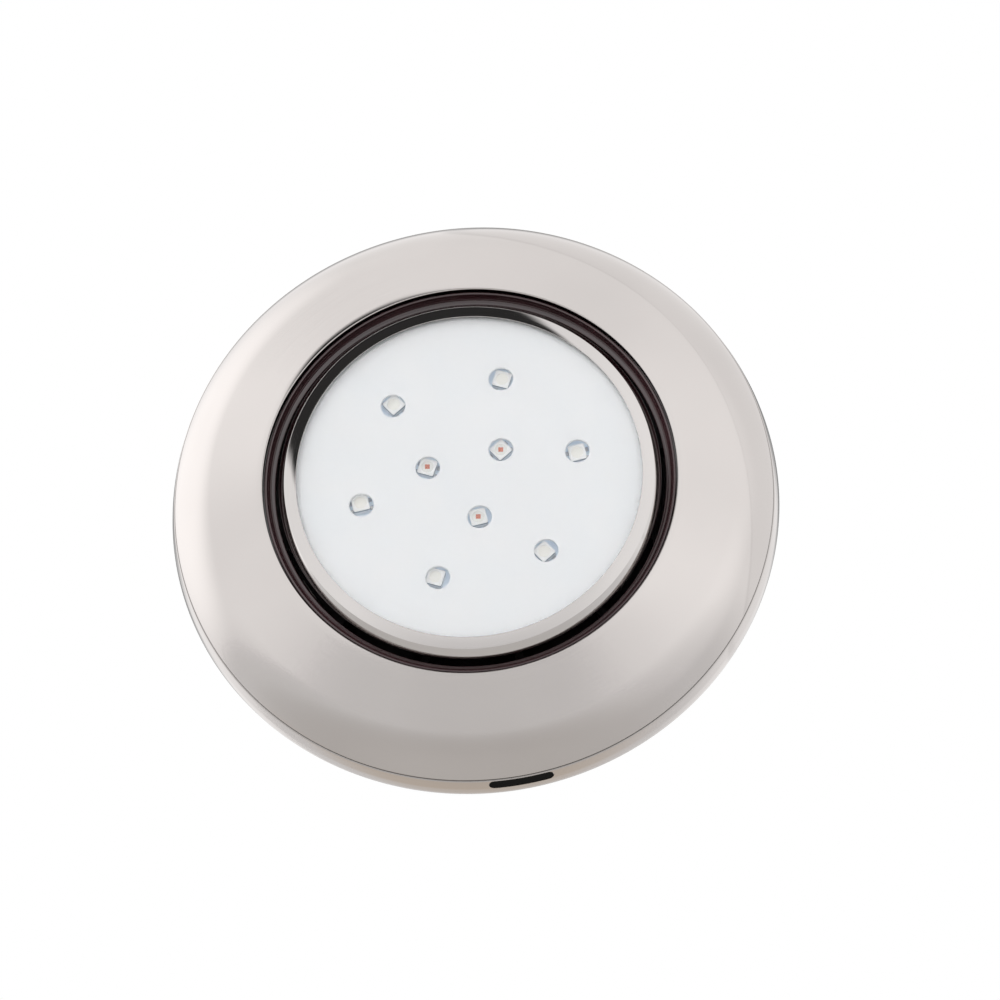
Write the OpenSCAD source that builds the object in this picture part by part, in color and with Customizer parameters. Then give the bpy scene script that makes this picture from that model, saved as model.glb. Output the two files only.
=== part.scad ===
// Surface-mounted underwater pool light.
// The face points along -Y, +Z is up, and the wall surface is the plane y = 0.
// The light's axis is the Y axis. Every module below is written face up:
// its z is the height in front of the wall, and facing() turns it to -Y.

/* [Face ring] */
// Outside diameter of the face ring
face_d = 125; // [120:0.5:130]
// Sheet thickness of the face ring
sheet_t = 1.0; // [0.8:0.1:1.2]
// How far the side band flares outwards to its back edge
band_flare = 1.0; // [0.6:0.1:1.2]
// Radius of the opening's edge, where the cone ends
mouth_r = 42.7; // [42:0.1:43.5]
// Height of the opening's edge in front of the wall
mouth_h = 17.2; // [16.5:0.1:18]
// Slope of the cone, in degrees
cone_slope = 22.8; // [20:0.2:25]
// Radius of the rounded shoulder between the cone and the side band
shoulder_r = 16; // [14:0.5:17]
// Length of the slot in the side band that the carrier's lug snaps into
slot_len = 13.5; // [10:0.5:16]
// Width of that slot
slot_w = 2.5; // [1.5:0.1:2.6]
// Where the slot is round the ring, in degrees; -90 is the bottom
slot_at = -81; // [-120:1:-60]

/* [Lens and mask] */
// Radius of the lens ring's inner edge
lens_edge_r = 35.5; // [35:0.1:35.6]
// Height of the lens ring's inner edge in front of the wall
lens_edge_h = 19.2; // [19:0.1:19.6]
// Thickness of the lens
lens_t = 1.1; // [1.0:0.1:1.2]
// Thickness of the white mask plate
mask_t = 0.7; // [0.5:0.1:0.9]
// Diameter of the holes in the mask plate
hole_d = 5.0; // [4.6:0.1:5.4]

/* [LEDs] */
// Number of LEDs on the outer circle
outer_count = 6; // [4:1:8]
// Number of LEDs on the inner circle
inner_count = 3; // [2:1:4]
// Radius of the outer circle
outer_circle_r = 22.75; // [20:0.25:26]
// Radius of the inner circle
inner_circle_r = 8.9; // [7:0.1:11]
// Angle of the first outer LED, in degrees
outer_first = 13.6; // [0:0.2:60]
// Angle of the first inner LED, in degrees
inner_first = 43.6; // [0:0.2:60]
// Side of the square LED package
package_w = 3.5; // [3:0.1:3.6]
// Height of the LED package
package_h = 1.9; // [1.5:0.1:2.0]
// How far the board is turned in its seat, in degrees
board_turn = -1; // [-2:0.5:2]
// How far the board lies to the side in its seat
board_shift_x = -0.2; // [-0.5:0.05:0.5]
// How far the board lies upwards in its seat
board_shift_y = 0.45; // [-0.5:0.05:0.5]

/* [Housing] */
// Radius of the flange behind the face ring
flange_r = 52; // [48:0.5:54]
// Thickness of the flange
flange_t = 3; // [2.5:0.25:4]
// Thickness of the wall gasket
gasket_t = 2; // [1.5:0.25:2.5]
// Major diameter of the neck thread (G 1 1/2)
neck_d = 47.8; // [47.6:0.1:48]
// Pitch of the neck thread
neck_pitch = 2.309; // [2.309]
// Length of the neck behind the wall surface
neck_len = 44; // [40:1:50]
// Wall thickness that the light is set for, from the wall gasket to the rear gasket
wall_t = 12; // [6:1:18]

/* [Cable gland] */
// Major diameter of the gland thread
gland_d = 19.8; // [19.6:0.1:20]
// Pitch of the gland thread
gland_pitch = 1.5; // [1.5]
// Width across the flats of the gland's hexagons
gland_af = 24; // [23:0.5:26]
// Diameter of the cable that the rubber seal takes
cable_d = 7.0; // [6:0.25:8]

/* [Hidden] */

$fn = 96;
fine_fn = 192;
// Overshoot of cutting tools past the faces they cut
cut = 1;
// Gap between pieces of different bodies
gap = 0.3;

// Colours
chrome_c = [0.84, 0.82, 0.81];
black_c = [0.10, 0.10, 0.11];
rubber_c = [0.16, 0.16, 0.17];
silicone_c = [0.80, 0.80, 0.78];
white_c = [0.93, 0.94, 0.95];
board_c = [0.84, 0.90, 0.96];
steel_c = [0.72, 0.73, 0.74];
alu_c = [0.78, 0.79, 0.80];
red_c = [0.80, 0.35, 0.24];
green_c = [0.12, 0.38, 0.24];
copper_c = [0.72, 0.42, 0.22];
resin_c = [0.22, 0.22, 0.24];

// Face ring, derived
face_r = face_d / 2;
crease_r = face_r - band_flare;
crease_depth = 0.35;
crease_w = 0.4;
hem_t = 2.2;
hem_h = 1.6;
back_gap = 0.3;
shoulder_start_r = face_r - 8.8;
shoulder_start_h = mouth_h - (shoulder_start_r - mouth_r) * tan(cone_slope);
shoulder_c = [
    shoulder_start_r - shoulder_r * sin(cone_slope),
    shoulder_start_h - shoulder_r * cos(cone_slope)
];
shoulder_end = acos((crease_r - shoulder_c[0]) / shoulder_r);
crease_h = shoulder_c[1] + shoulder_r * sin(shoulder_end);
// Height of the middle of the slot and of the lug in it
lug_h = crease_h - 0.5 - slot_w / 2;
// The sheet's edge roll round the opening, and the lip that turns down from it
edge_roll_r = 0.5;
edge_c = [
    mouth_r + edge_roll_r / 2 - edge_roll_r * sin(cone_slope),
    mouth_h - edge_roll_r / 2 * tan(cone_slope) - edge_roll_r * cos(cone_slope)
];
lip_end_h = 14.2;
// The carrier's bead and ridge, and its web behind the sheet
bead_r = 0.3;
bead_h = 16.2;
ridge_r = 0.25;
ridge_at = [40.3, 14.35];
web_t = 0.6;
web_end_h = 6.0;

// Lens ring, derived
ring_top_r = 37.95;
ring_top_h = lens_edge_h - 0.64;
ring_bevel_w = 1.15;
ring_bevel_h = 1.65;
ring_wall_r = 39.2;
ring_foot_r = 39.35;
ring_foot_h = 10.2;
ring_edge_t = 0.3;
cup_r = 38.2;
cup_in_r = 36.0;
snap_depth = 0.4;
snap_h = 12.6;
snap_w = 1.0;

// Stack behind the lens, front to back
lens_front_h = lens_edge_h - ring_edge_t - 0.05;
lens_back_h = lens_front_h - lens_t;
lens_rim_r = 37.2;
lens_rim_t = 0.4;
gasket_seat_h = 16.8;
mask_front_h = lens_back_h - 0.05;
mask_back_h = mask_front_h - mask_t;
mask_r = 35.8;
mask_skirt_t = 1.4;
led_top_h = mask_back_h - 0.1;
board_front_h = led_top_h - package_h;
board_t = 1.4;
board_r = 35.6;
pad_t = 0.4;
pad_r = 33.5;
sink_front_h = board_front_h - board_t - pad_t;
sink_t = 3;
sink_r = 35.7;
fin_t = 1.6;
fin_h = 3.4;
fin_count = 18;
fin_in_r = 8;
fin_out_r = 26;
lead_hole_r = 3.5;
screw_circle_r = 30.5;
screw_angles = [73.6, 193.6, 313.6];
post_r = 3.2;

// Housing, derived
neck_r = neck_d / 2;
neck_root_r = neck_r - 1.48;
flange_back_h = gasket_t;
flange_front_h = flange_back_h + flange_t;
land_len = 9;
neck_in_r = 19.2;
driver_seat_r = 20.5;
driver_h = -7.6;
rear_wall_t = 4;
rear_wall_h = rear_wall_t - neck_len;
shoulder_step_r = 39.3;
rib_count = 12;
rib_t = 1.8;
clip_angles = [90, 210, 330];
clip_w = 9;
clip_t = 0.6;
clip_screw_r = 46.5;

// Driver, derived
driver_r = 20.2;
driver_t = 1.6;
driver_back_h = driver_h;
driver_front_h = driver_h + driver_t;
lead_r = 0.6;
lead_ring_r = 1.9;
supply_r = 1.0;
supply_x = 2.3;
supply_end_h = -neck_len - 4;
block_size = [10, 8, 9];
resin_front_h = -28;
resin_back_h = -34;

// Clamp behind the wall, derived
rear_gasket_t = 2;
washer_t = 1.5;
clamp_in_r = neck_r + gap + 0.1;
clamp_out_r = 33;
nut_t = 9;
nut_r = 31;
lug_count = 8;
lug_r = 34;
lug_w = 7;
washer_back_h = -wall_t - rear_gasket_t - washer_t;

// Gland, derived
gland_r = gland_d / 2;
gland_root_r = gland_r - 0.8;
gland_washer_t = 1.2;
gland_seat_h = -neck_len - gland_washer_t;
gland_hex_t = 5;
gland_stub_len = 10.8;
gland_mouth_h = gland_seat_h - gland_hex_t - gland_stub_len;
gland_front_h = rear_wall_h + 5;
gland_bore_r = 5.0;
seal_pocket_r = 7.0;
seal_r = 6.9;
slip_t = 1.2;
slip_in_r = 4.2;
slip_out_r = 8.8;
slip_front_h = gland_mouth_h - gap;
slip_back_h = slip_front_h - slip_t;
dome_h = 6;
nut_skirt = 9;
nut_end_r = 4.8;

// An arc of n steps round c from angle a0 to angle a1
function arc(c, r, a0, a1, n) =
    [for (i = [0:n]) let (a = a0 + (a1 - a0) * i / n) [c[0] + r * cos(a), c[1] + r * sin(a)]];

// Crests and roots of a thread from height h0 downwards, as [radius, height]
function thread_down(crest_r, root_r, h0, pitch, turns) =
    [for (i = [0:turns - 1], p = [[crest_r, 0], [crest_r, 0.2], [root_r, 0.5], [root_r, 0.7]])
        [p[0], h0 - (i + p[1]) * pitch]];

// The points of a bent strip's path, moved sideways by d
function unit(v) = v / norm(v);
function across(v) = unit([-v[1], v[0]]);
function beside(path, d) = [
    for (i = [0:len(path) - 1])
        let (before = across(path[max(i, 1)] - path[max(i, 1) - 1]))
        let (after = across(path[min(i + 1, len(path) - 1)] - path[min(i, len(path) - 2)]))
        let (bisector = unit(before + after))
        path[i] + bisector * d / (bisector * before)
];
function reversed(list) = [for (i = [len(list) - 1:-1:0]) list[i]];

// Turns a module written face up so that it faces -Y
module facing() {
    rotate([90, 0, 0]) children();
}

// A solid of revolution from points given as [radius, height]
module lathe(points, sides = $fn) {
    rotate_extrude($fn = sides) polygon(points);
}

// A ring between two radii and two heights
module ring(r_in, r_out, h_low, h_high, sides = $fn) {
    lathe([[r_in, h_low], [r_out, h_low], [r_out, h_high], [r_in, h_high]], sides);
}

// A cylinder between two heights
module rod(r, h_low, h_high) {
    translate([0, 0, h_low]) cylinder(r = r, h = h_high - h_low);
}

// A hexagon nut blank between two heights, its corners turned off
module hex_blank(across_flats, h_low, h_high) {
    corner_r = across_flats / 2 / cos(30);
    chamfer = corner_r - across_flats / 2;
    turned_r = across_flats / 2 + chamfer * 0.85;
    intersection() {
        translate([0, 0, h_low]) cylinder(r = corner_r, h = h_high - h_low, $fn = 6);
        lathe([
            [0, h_low], [across_flats / 2, h_low], [turned_r, h_low + chamfer * 0.5],
            [turned_r, h_high - chamfer * 0.5], [across_flats / 2, h_high], [0, h_high]
        ]);
    }
}

// Places its children at each angle on a circle, turned to face outwards
module on_circle(r, angles) {
    for (a = angles) rotate([0, 0, a]) translate([r, 0, 0]) children();
}

function outer_angles() = [for (i = [0:outer_count - 1]) outer_first + i * 360 / outer_count];
function inner_angles() = [for (i = [0:inner_count - 1]) inner_first + i * 360 / inner_count];

// The board and what is on it, turned and shifted in its seat
module on_board() {
    translate([board_shift_x, board_shift_y, 0]) rotate([0, 0, board_turn]) children();
}

module face_ring() {
    under_r = shoulder_r - sheet_t;
    under_end = acos((crease_r - crease_depth - sheet_t - shoulder_c[0]) / under_r);
    under_cone_r = mouth_r + 0.8;
    under_cone_h = mouth_h - 0.8 * tan(cone_slope) - sheet_t / cos(cone_slope);
    outside = concat(
        [[face_r - 0.15, back_gap], [face_r, back_gap + 0.2]],
        [[crease_r + 0.1, crease_h - crease_w], [crease_r - crease_depth, crease_h - crease_w / 2]],
        arc(shoulder_c, shoulder_r, shoulder_end, 90 - cone_slope, 16),
        arc(edge_c, edge_roll_r, 90 - cone_slope, 180, 8)
    );
    underside = concat(
        [[edge_c[0] - edge_roll_r, lip_end_h], [edge_c[0] - edge_roll_r + sheet_t, lip_end_h]],
        [[under_cone_r, under_cone_h]],
        arc(shoulder_c, under_r, 90 - cone_slope, under_end, 12),
        [[face_r - sheet_t - 0.4, hem_h + 0.7], [face_r - hem_t, hem_h], [face_r - hem_t, back_gap]]
    );
    color(chrome_c) facing() difference() {
        lathe(concat(outside, underside), fine_fn);
        rotate([0, 0, slot_at]) translate([face_r - hem_t - cut, 0, lug_h])
            round_bar(hem_t + 2 * cut, slot_len, slot_w);
    }
}

// A bar with round ends that points outwards along X
module round_bar(depth, len, width) {
    end_r = width / 2;
    end_y = len / 2 - end_r;
    translate([0, -end_y, -end_r]) cube([depth, 2 * end_y, width]);
    for (y = [-end_y, end_y])
        translate([0, y, 0]) rotate([0, 90, 0]) cylinder(r = end_r, h = depth, $fn = 48);
}

// Black moulding that the face ring's sheet is pressed over. Its lip shows in the opening, with a
// bead, a hollow and a ridge, and its lug snaps into the slot in the side band
module ring_carrier() {
    outer_r = edge_c[0] - edge_roll_r - 0.05;
    bead_c = [outer_r - bead_r, bead_h];
    hollow_r = bead_c[0] - bead_r - ridge_at[0];
    hollow_c = [ridge_at[0], ridge_at[1] + ridge_r + hollow_r];
    hook_h = lip_end_h - 0.05;
    back_r = shoulder_r - sheet_t - 0.05;
    back_end = asin((web_end_h - shoulder_c[1]) / back_r);
    web_r = back_r - web_t;
    web_end = asin((web_end_h - shoulder_c[1]) / web_r);
    back_end_r = shoulder_c[0] + back_r * cos(back_end);
    lip = concat(
        arc(bead_c, bead_r, 30, 180, 8), arc(hollow_c, hollow_r, 360, 270, 8),
        arc(ridge_at, ridge_r, 75, 270, 8)
    );
    web = concat(
        [[ridge_at[0] + 0.7, hook_h - 0.6], [outer_r, hook_h - web_t - 0.4]],
        [[outer_r + sheet_t + web_t, hook_h - web_t - 0.4]],
        arc(shoulder_c, web_r, 90 - cone_slope, web_end, 12),
        reversed(arc(shoulder_c, back_r, 90 - cone_slope, back_end, 12)),
        [[outer_r + sheet_t + 0.15, hook_h + 0.55], [outer_r + sheet_t + 0.1, hook_h], [outer_r, hook_h]]
    );
    color(black_c) facing() {
        lathe(concat(lip, web), fine_fn);
        intersection() {
            rotate([0, 0, slot_at]) union() {
                translate([back_end_r - web_t, 0, lug_h]) round_bar(hem_t * 2, slot_len - 0.2, slot_w - 0.2);
                translate([back_end_r - web_t, slot_w - slot_len / 2, lug_h - slot_w / 2 + 0.1])
                    cube([web_t - 0.1, slot_len - 2 * slot_w, web_end_h - lug_h + slot_w / 2]);
            }
            lathe([
                [back_end_r - web_t - 0.2, back_gap], [face_r - 0.1, back_gap],
                [crease_r - 0.1, crease_h - crease_w], [back_end_r - 0.1, crease_h - crease_w],
                [back_end_r - 0.1, web_end_h + 0.2], [back_end_r - web_t - 0.2, web_end_h + 0.2]
            ], fine_fn);
        }
    }
}

module lens_ring() {
    snap_r = cup_r - snap_depth / 2;
    crown = [
        [lens_edge_r, lens_edge_h - ring_edge_t], [lens_edge_r, lens_edge_h - 0.06],
        [lens_edge_r + 0.08, lens_edge_h], [ring_top_r, ring_top_h],
        [ring_top_r + ring_bevel_w, ring_top_h - ring_bevel_h],
        [ring_wall_r, ring_top_h - ring_bevel_h - 0.3]
    ];
    inside = [
        [ring_foot_r, ring_foot_h], [cup_r + 0.05, ring_foot_h],
        [cup_r + 0.05, snap_h - snap_w / 2], [snap_r, snap_h - snap_w / 4],
        [snap_r, snap_h + snap_w / 4], [cup_r + 0.05, snap_h + snap_w / 2],
        [cup_r + 0.05, gasket_seat_h + 0.05], [lens_rim_r + 0.1, gasket_seat_h + 0.05],
        [lens_rim_r + 0.1, lens_back_h + lens_rim_t + 0.1]
    ];
    profile = concat(
        crown, [[ring_wall_r, ring_foot_h + 1.2], [ring_foot_r, ring_foot_h + 0.8]], inside
    );
    color(chrome_c) facing() lathe(profile, fine_fn);
}

module lens() {
    bevel_r = lens_edge_r + 0.1;
    color([0.9, 0.94, 0.96, 0.35]) facing() lathe([
        [0, lens_back_h], [lens_rim_r, lens_back_h], [lens_rim_r, lens_back_h + lens_rim_t],
        [bevel_r, lens_front_h], [0, lens_front_h]
    ], fine_fn);
}

module lens_gasket() {
    color(silicone_c) facing() ring(cup_in_r, lens_rim_r, gasket_seat_h, lens_back_h);
}

module mask_plate() {
    color(white_c) facing() difference() {
        lathe([
            [0, mask_back_h], [mask_r - mask_skirt_t, mask_back_h],
            [mask_r - mask_skirt_t, board_front_h], [mask_r, board_front_h],
            [mask_r, mask_front_h], [0, mask_front_h]
        ], fine_fn);
        on_circle(outer_circle_r, outer_angles()) rod(hole_d / 2, mask_back_h - cut, mask_front_h + cut);
        on_circle(inner_circle_r, inner_angles()) rod(hole_d / 2, mask_back_h - cut, mask_front_h + cut);
    }
}

// One square LED package with a round cup for its resin
module led_package() {
    cup_radius = 1.35;
    cup_depth = 0.3;
    difference() {
        translate([-package_w / 2, -package_w / 2, board_front_h])
            cube([package_w, package_w, package_h]);
        rod(cup_radius, led_top_h - cup_depth, led_top_h + cut);
    }
}

module outer_leds() {
    color(white_c) facing() on_board() on_circle(outer_circle_r, outer_angles()) led_package();
}

module inner_leds() {
    color(white_c) facing() on_board() on_circle(inner_circle_r, inner_angles()) led_package();
}

module red_dies() {
    die_w = 1.0;
    die_t = 0.2;
    color(red_c) facing() on_board() for (a = inner_angles())
        rotate([0, 0, a]) translate([inner_circle_r, 0, 0]) rotate([0, 0, -a])
            translate([-die_w / 2, -die_w / 2, led_top_h - 0.3]) cube([die_w, die_w, die_t]);
}

module led_board() {
    color(board_c) facing() difference() {
        rod(board_r, board_front_h - board_t, board_front_h);
        on_circle(screw_circle_r, screw_angles) rod(1.6, board_front_h - board_t - cut, board_front_h + cut);
    }
}

module board_screws() {
    head_r = 2.7;
    head_t = 1.5;
    socket_r = 1.3;
    color(steel_c) facing() on_circle(screw_circle_r, screw_angles) difference() {
        union() {
            lathe([
                [0, board_front_h], [head_r, board_front_h], [head_r, board_front_h + head_t * 0.6],
                [head_r * 0.7, board_front_h + head_t], [0, board_front_h + head_t]
            ], 48);
            rod(1.45, flange_front_h + 2, board_front_h);
        }
        translate([0, 0, board_front_h + 0.5]) cylinder(r = socket_r, h = 2, $fn = 6);
    }
}

module thermal_pad() {
    color(rubber_c) facing() difference() {
        rod(pad_r, sink_front_h, sink_front_h + pad_t);
        rod(lead_hole_r, sink_front_h - cut, sink_front_h + pad_t + cut);
        on_circle(screw_circle_r, screw_angles) rod(1.8, sink_front_h - cut, sink_front_h + pad_t + cut);
    }
}

module heat_sink() {
    sink_back_h = sink_front_h - sink_t;
    fin_angles = [for (i = [0:fin_count - 1]) i * 360 / fin_count];
    color(alu_c) facing() difference() {
        union() {
            rod(sink_r, sink_back_h, sink_front_h);
            on_circle(0, fin_angles)
                translate([fin_in_r, -fin_t / 2, sink_back_h - fin_h])
                    cube([fin_out_r - fin_in_r, fin_t, fin_h + 0.5]);
        }
        rod(lead_hole_r, sink_back_h - cut, sink_front_h + cut);
        on_circle(screw_circle_r, screw_angles) rod(1.6, sink_back_h - cut, sink_front_h + cut);
    }
}

module led_leads() {
    color(red_c) facing()
        on_circle(lead_ring_r, [0, 90, 180, 270]) rod(lead_r, driver_front_h, board_front_h - board_t);
}

module housing() {
    sink_back_h = sink_front_h - sink_t;
    thread_start_h = -land_len - 0.5;
    turns = floor((neck_len - land_len - 4) / neck_pitch);
    rib_angles = [for (i = [0:rib_count - 1]) (i + 0.5) * 360 / rib_count];
    body = concat(
        [[cup_in_r, gasket_seat_h], [cup_r, gasket_seat_h]],
        [[cup_r, snap_h + snap_w / 2 + 0.1], [cup_r - snap_depth, snap_h + snap_w / 2 - 0.1]],
        [[cup_r - snap_depth, snap_h - snap_w / 2 + 0.1], [cup_r, snap_h - snap_w / 2 - 0.1]],
        [[cup_r, ring_foot_h], [shoulder_step_r, ring_foot_h], [shoulder_step_r, flange_front_h]],
        [[flange_r - 0.5, flange_front_h], [flange_r, flange_front_h - 0.5], [flange_r, flange_back_h]],
        [[neck_r, flange_back_h], [neck_r, thread_start_h]],
        thread_down(neck_r, neck_root_r, thread_start_h, neck_pitch, turns),
        [[neck_root_r, 1.5 - neck_len], [neck_root_r - 1, -neck_len]],
        [[gland_r + 0.1, -neck_len], [gland_r + 0.1, rear_wall_h], [neck_in_r, rear_wall_h]],
        [[neck_in_r, driver_h], [driver_seat_r, driver_h], [driver_seat_r, flange_front_h]],
        [[cup_in_r, flange_front_h]]
    );
    color(black_c) facing() difference() {
        union() {
            lathe(body, fine_fn);
            on_circle(screw_circle_r, screw_angles) rod(post_r, flange_front_h - 0.5, sink_back_h);
            // Ribs that brace the cup against the flange
            on_circle(0, rib_angles)
                rotate([90, 0, 0]) linear_extrude(height = rib_t, center = true) polygon([
                    [shoulder_step_r - 0.5, flange_front_h - 0.5], [flange_r - 3, flange_front_h - 0.5],
                    [flange_r - 3, flange_front_h + 0.5], [shoulder_step_r - 0.5, ring_foot_h - 1]
                ]);
        }
        on_circle(screw_circle_r, screw_angles) rod(1.5, flange_front_h + 1, sink_back_h + cut);
        on_circle(clip_screw_r, clip_angles) rod(1.3, flange_back_h + 0.6, flange_front_h + cut);
    }
}

module wall_gasket() {
    color(rubber_c) facing() ring(neck_r + 1, flange_r - 6, 0, flange_back_h, fine_fn);
}

// Bent spring-steel clips that grip the rolled hem of the face ring
module ring_clips() {
    mid_h = flange_front_h + clip_t / 2;
    tip_r = face_r - hem_t - 0.5 - clip_t / 2;
    path = [
        [clip_screw_r - 4, mid_h], [flange_r + 1.2, mid_h], [tip_r - 2.6, mid_h + 1.6],
        [tip_r - 1.5, mid_h + 0.9], [tip_r - 1.1, mid_h - 1.6], [tip_r, mid_h - 2.6],
        [tip_r - 1.2, mid_h - 3.9]
    ];
    color(steel_c) facing() on_circle(0, clip_angles) difference() {
        rotate([90, 0, 0]) linear_extrude(height = clip_w, center = true) polygon(
            concat(beside(path, clip_t / 2), reversed(beside(path, -clip_t / 2)))
        );
        translate([clip_screw_r, 0, 0]) rod(1.7, mid_h - clip_t, mid_h + clip_t);
    }
}

module clip_screws() {
    head_r = 2.8;
    head_t = 1.8;
    seat_h = flange_front_h + clip_t;
    color(steel_c) facing() on_circle(clip_screw_r, clip_angles) difference() {
        union() {
            lathe([
                [0, seat_h], [head_r, seat_h], [head_r, seat_h + head_t * 0.5],
                [head_r * 0.7, seat_h + head_t], [0, seat_h + head_t]
            ], 48);
            rod(1.28, flange_back_h + 0.8, seat_h);
        }
        translate([0, 0, seat_h + 0.6]) cylinder(r = 1.3, h = 2, $fn = 6);
    }
}

module driver_board() {
    color(green_c) facing() difference() {
        rod(driver_r, driver_back_h, driver_front_h);
        on_circle(14, [45, 225]) rod(1.2, driver_back_h - cut, driver_front_h + cut);
    }
}

module capacitor() {
    can_r = 5;
    can_len = 14;
    groove_h = driver_back_h - 2;
    color([0.14, 0.16, 0.24]) facing() translate([-9, 6.5, 0]) lathe([
        [0, driver_back_h], [can_r, driver_back_h], [can_r, groove_h + 0.4], [can_r - 0.5, groove_h],
        [can_r, groove_h - 0.4], [can_r, driver_back_h - can_len + 0.5],
        [can_r - 0.5, driver_back_h - can_len], [0, driver_back_h - can_len]
    ], 48);
}

// Position and size of the choke, shared by its core and its winding
choke_at = [9, 6.5, 0];
choke_r = 5;
choke_h = 8;

module choke_core() {
    waist_r = 2.6;
    flange_w = 1.2;
    low = driver_back_h - choke_h;
    color([0.25, 0.25, 0.27]) facing() translate(choke_at) lathe([
        [0, low], [choke_r, low], [choke_r, low + flange_w], [waist_r, low + flange_w],
        [waist_r, driver_back_h - flange_w], [choke_r, driver_back_h - flange_w],
        [choke_r, driver_back_h], [0, driver_back_h]
    ], 48);
}

module choke_winding() {
    layers = 8;
    wound_h = choke_h - 2.4;
    low = driver_back_h - choke_h + 1.2;
    color(copper_c) facing() translate(choke_at) lathe(concat(
        [[2.6, low], [4.2, low]],
        [for (i = [0:layers - 1], p = [[4.5, 0.3], [4.2, 1]]) [p[0], low + (i + p[1]) * wound_h / layers]],
        [[2.6, low + wound_h]]
    ), 48);
}

module rectifier() {
    body_size = [8, 5, 6];
    color([0.12, 0.12, 0.13]) facing()
        translate([-4, -14, driver_back_h - body_size[2]]) cube(body_size);
}

module control_chip() {
    chip_size = [9, 6, 1.6];
    leg = [0.45, 1.1, 0.3];
    legs_per_side = 6;
    color([0.12, 0.12, 0.13]) facing() translate([-chip_size[0] / 2, 6, driver_front_h]) {
        translate([0, 0, 0.3]) cube(chip_size);
        for (i = [0:legs_per_side - 1], y = [-leg[1] + 0.1, chip_size[1] - 0.1])
            translate([0.8 + i * 1.4, y, 0]) cube([leg[0], leg[1], leg[2] + 0.3]);
    }
}

module terminal_block() {
    low = driver_back_h - block_size[2];
    color([0.16, 0.36, 0.30]) facing() difference() {
        translate([-block_size[0] / 2, -block_size[1] / 2 - 0.5, low]) cube(block_size);
        for (x = [-supply_x, supply_x]) translate([x, 0, 0]) rod(supply_r, low - cut, low + 5);
    }
}

module supply_leads() {
    top_h = driver_back_h - block_size[2] + 5;
    color(rubber_c) facing()
        for (x = [-supply_x, supply_x]) translate([x, 0, 0]) rod(supply_r, supply_end_h, top_h);
}

module resin_seal() {
    color(resin_c) facing() difference() {
        rod(neck_in_r, resin_back_h, resin_front_h);
        for (x = [-supply_x, supply_x])
            translate([x, 0, 0]) rod(supply_r, resin_back_h - cut, resin_front_h + cut);
    }
}

module rear_gasket() {
    color(rubber_c) facing()
        ring(clamp_in_r, clamp_out_r - 1, -wall_t - rear_gasket_t, -wall_t, fine_fn);
}

module slip_washer() {
    color(black_c) facing()
        ring(clamp_in_r, clamp_out_r, washer_back_h, -wall_t - rear_gasket_t, fine_fn);
}

module lock_nut() {
    front_h = washer_back_h - gap;
    back_h = front_h - nut_t;
    lug_angles = [for (i = [0:lug_count - 1]) i * 360 / lug_count];
    color(black_c) facing() difference() {
        union() {
            lathe([
                [0, front_h], [nut_r + 1.5, front_h], [nut_r + 1.5, front_h - 2],
                [nut_r - 2, front_h - 3], [nut_r - 2, back_h + 0.8], [nut_r - 2.8, back_h], [0, back_h]
            ], fine_fn);
            on_circle(0, lug_angles)
                translate([nut_r - 6, -lug_w / 2, back_h]) cube([lug_r - nut_r + 5, lug_w, nut_t - 0.5]);
        }
        rod(neck_r + gap, back_h - cut, front_h + cut);
    }
}

module gland_body() {
    hex_back_h = gland_seat_h - gland_hex_t;
    stub_turns = floor((gland_seat_h - gland_front_h) / -gland_pitch) - 1;
    mouth_turns = floor((gland_stub_len - 2) / gland_pitch);
    color(black_c) facing() difference() {
        union() {
            lathe(concat(
                [[0, gland_front_h], [gland_root_r, gland_front_h]],
                thread_down(gland_r, gland_root_r, gland_front_h - 0.4, gland_pitch, stub_turns),
                [[gland_root_r, gland_seat_h], [0, gland_seat_h]]
            ));
            lathe(concat(
                [[0, hex_back_h], [gland_root_r, hex_back_h]],
                thread_down(gland_r, gland_root_r, hex_back_h - 0.8, gland_pitch, mouth_turns),
                [[gland_root_r, gland_mouth_h], [0, gland_mouth_h]]
            ));
            hex_blank(gland_af, hex_back_h, gland_seat_h);
        }
        rod(gland_bore_r, gland_mouth_h - cut, gland_front_h + cut);
        rod(seal_pocket_r, gland_mouth_h - cut, hex_back_h);
    }
}

module gland_washer() {
    color(rubber_c) facing() ring(gland_r + 0.2, gland_af / 2, gland_seat_h, -neck_len);
}

module gland_lock_nut() {
    color(black_c) facing() difference() {
        hex_blank(gland_af, rear_wall_h, rear_wall_h + 4);
        rod(gland_r + 0.05, rear_wall_h - cut, rear_wall_h + 4 + cut);
    }
}

module gland_seal() {
    front_h = gland_seat_h - gland_hex_t;
    color(rubber_c) facing() difference() {
        rod(seal_r, gland_mouth_h, front_h);
        rod(cable_d / 2, gland_mouth_h - cut, front_h + cut);
    }
}

module gland_slip_ring() {
    color([0.75, 0.75, 0.72]) facing() ring(slip_in_r, slip_out_r, slip_back_h, slip_front_h);
}

module gland_nut() {
    inner_h = slip_back_h - gap;
    hex_front_h = inner_h + nut_skirt;
    dome_end_h = inner_h - dome_h;
    neck_end_r = nut_end_r + 2.2;
    color(black_c) facing() difference() {
        union() {
            hex_blank(gland_af, inner_h - 1, hex_front_h);
            lathe(concat(
                [[0, inner_h - 1], [gland_af / 2 - 1.2, inner_h - 1]],
                arc([neck_end_r, inner_h - 1], gland_af / 2 - 1.2 - neck_end_r, -15, -80, 5),
                [[neck_end_r, dome_end_h], [0, dome_end_h]]
            ));
        }
        rod(gland_r + gap, inner_h, hex_front_h + cut);
        rod(nut_end_r, dome_end_h - cut, inner_h + cut);
    }
}

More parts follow.
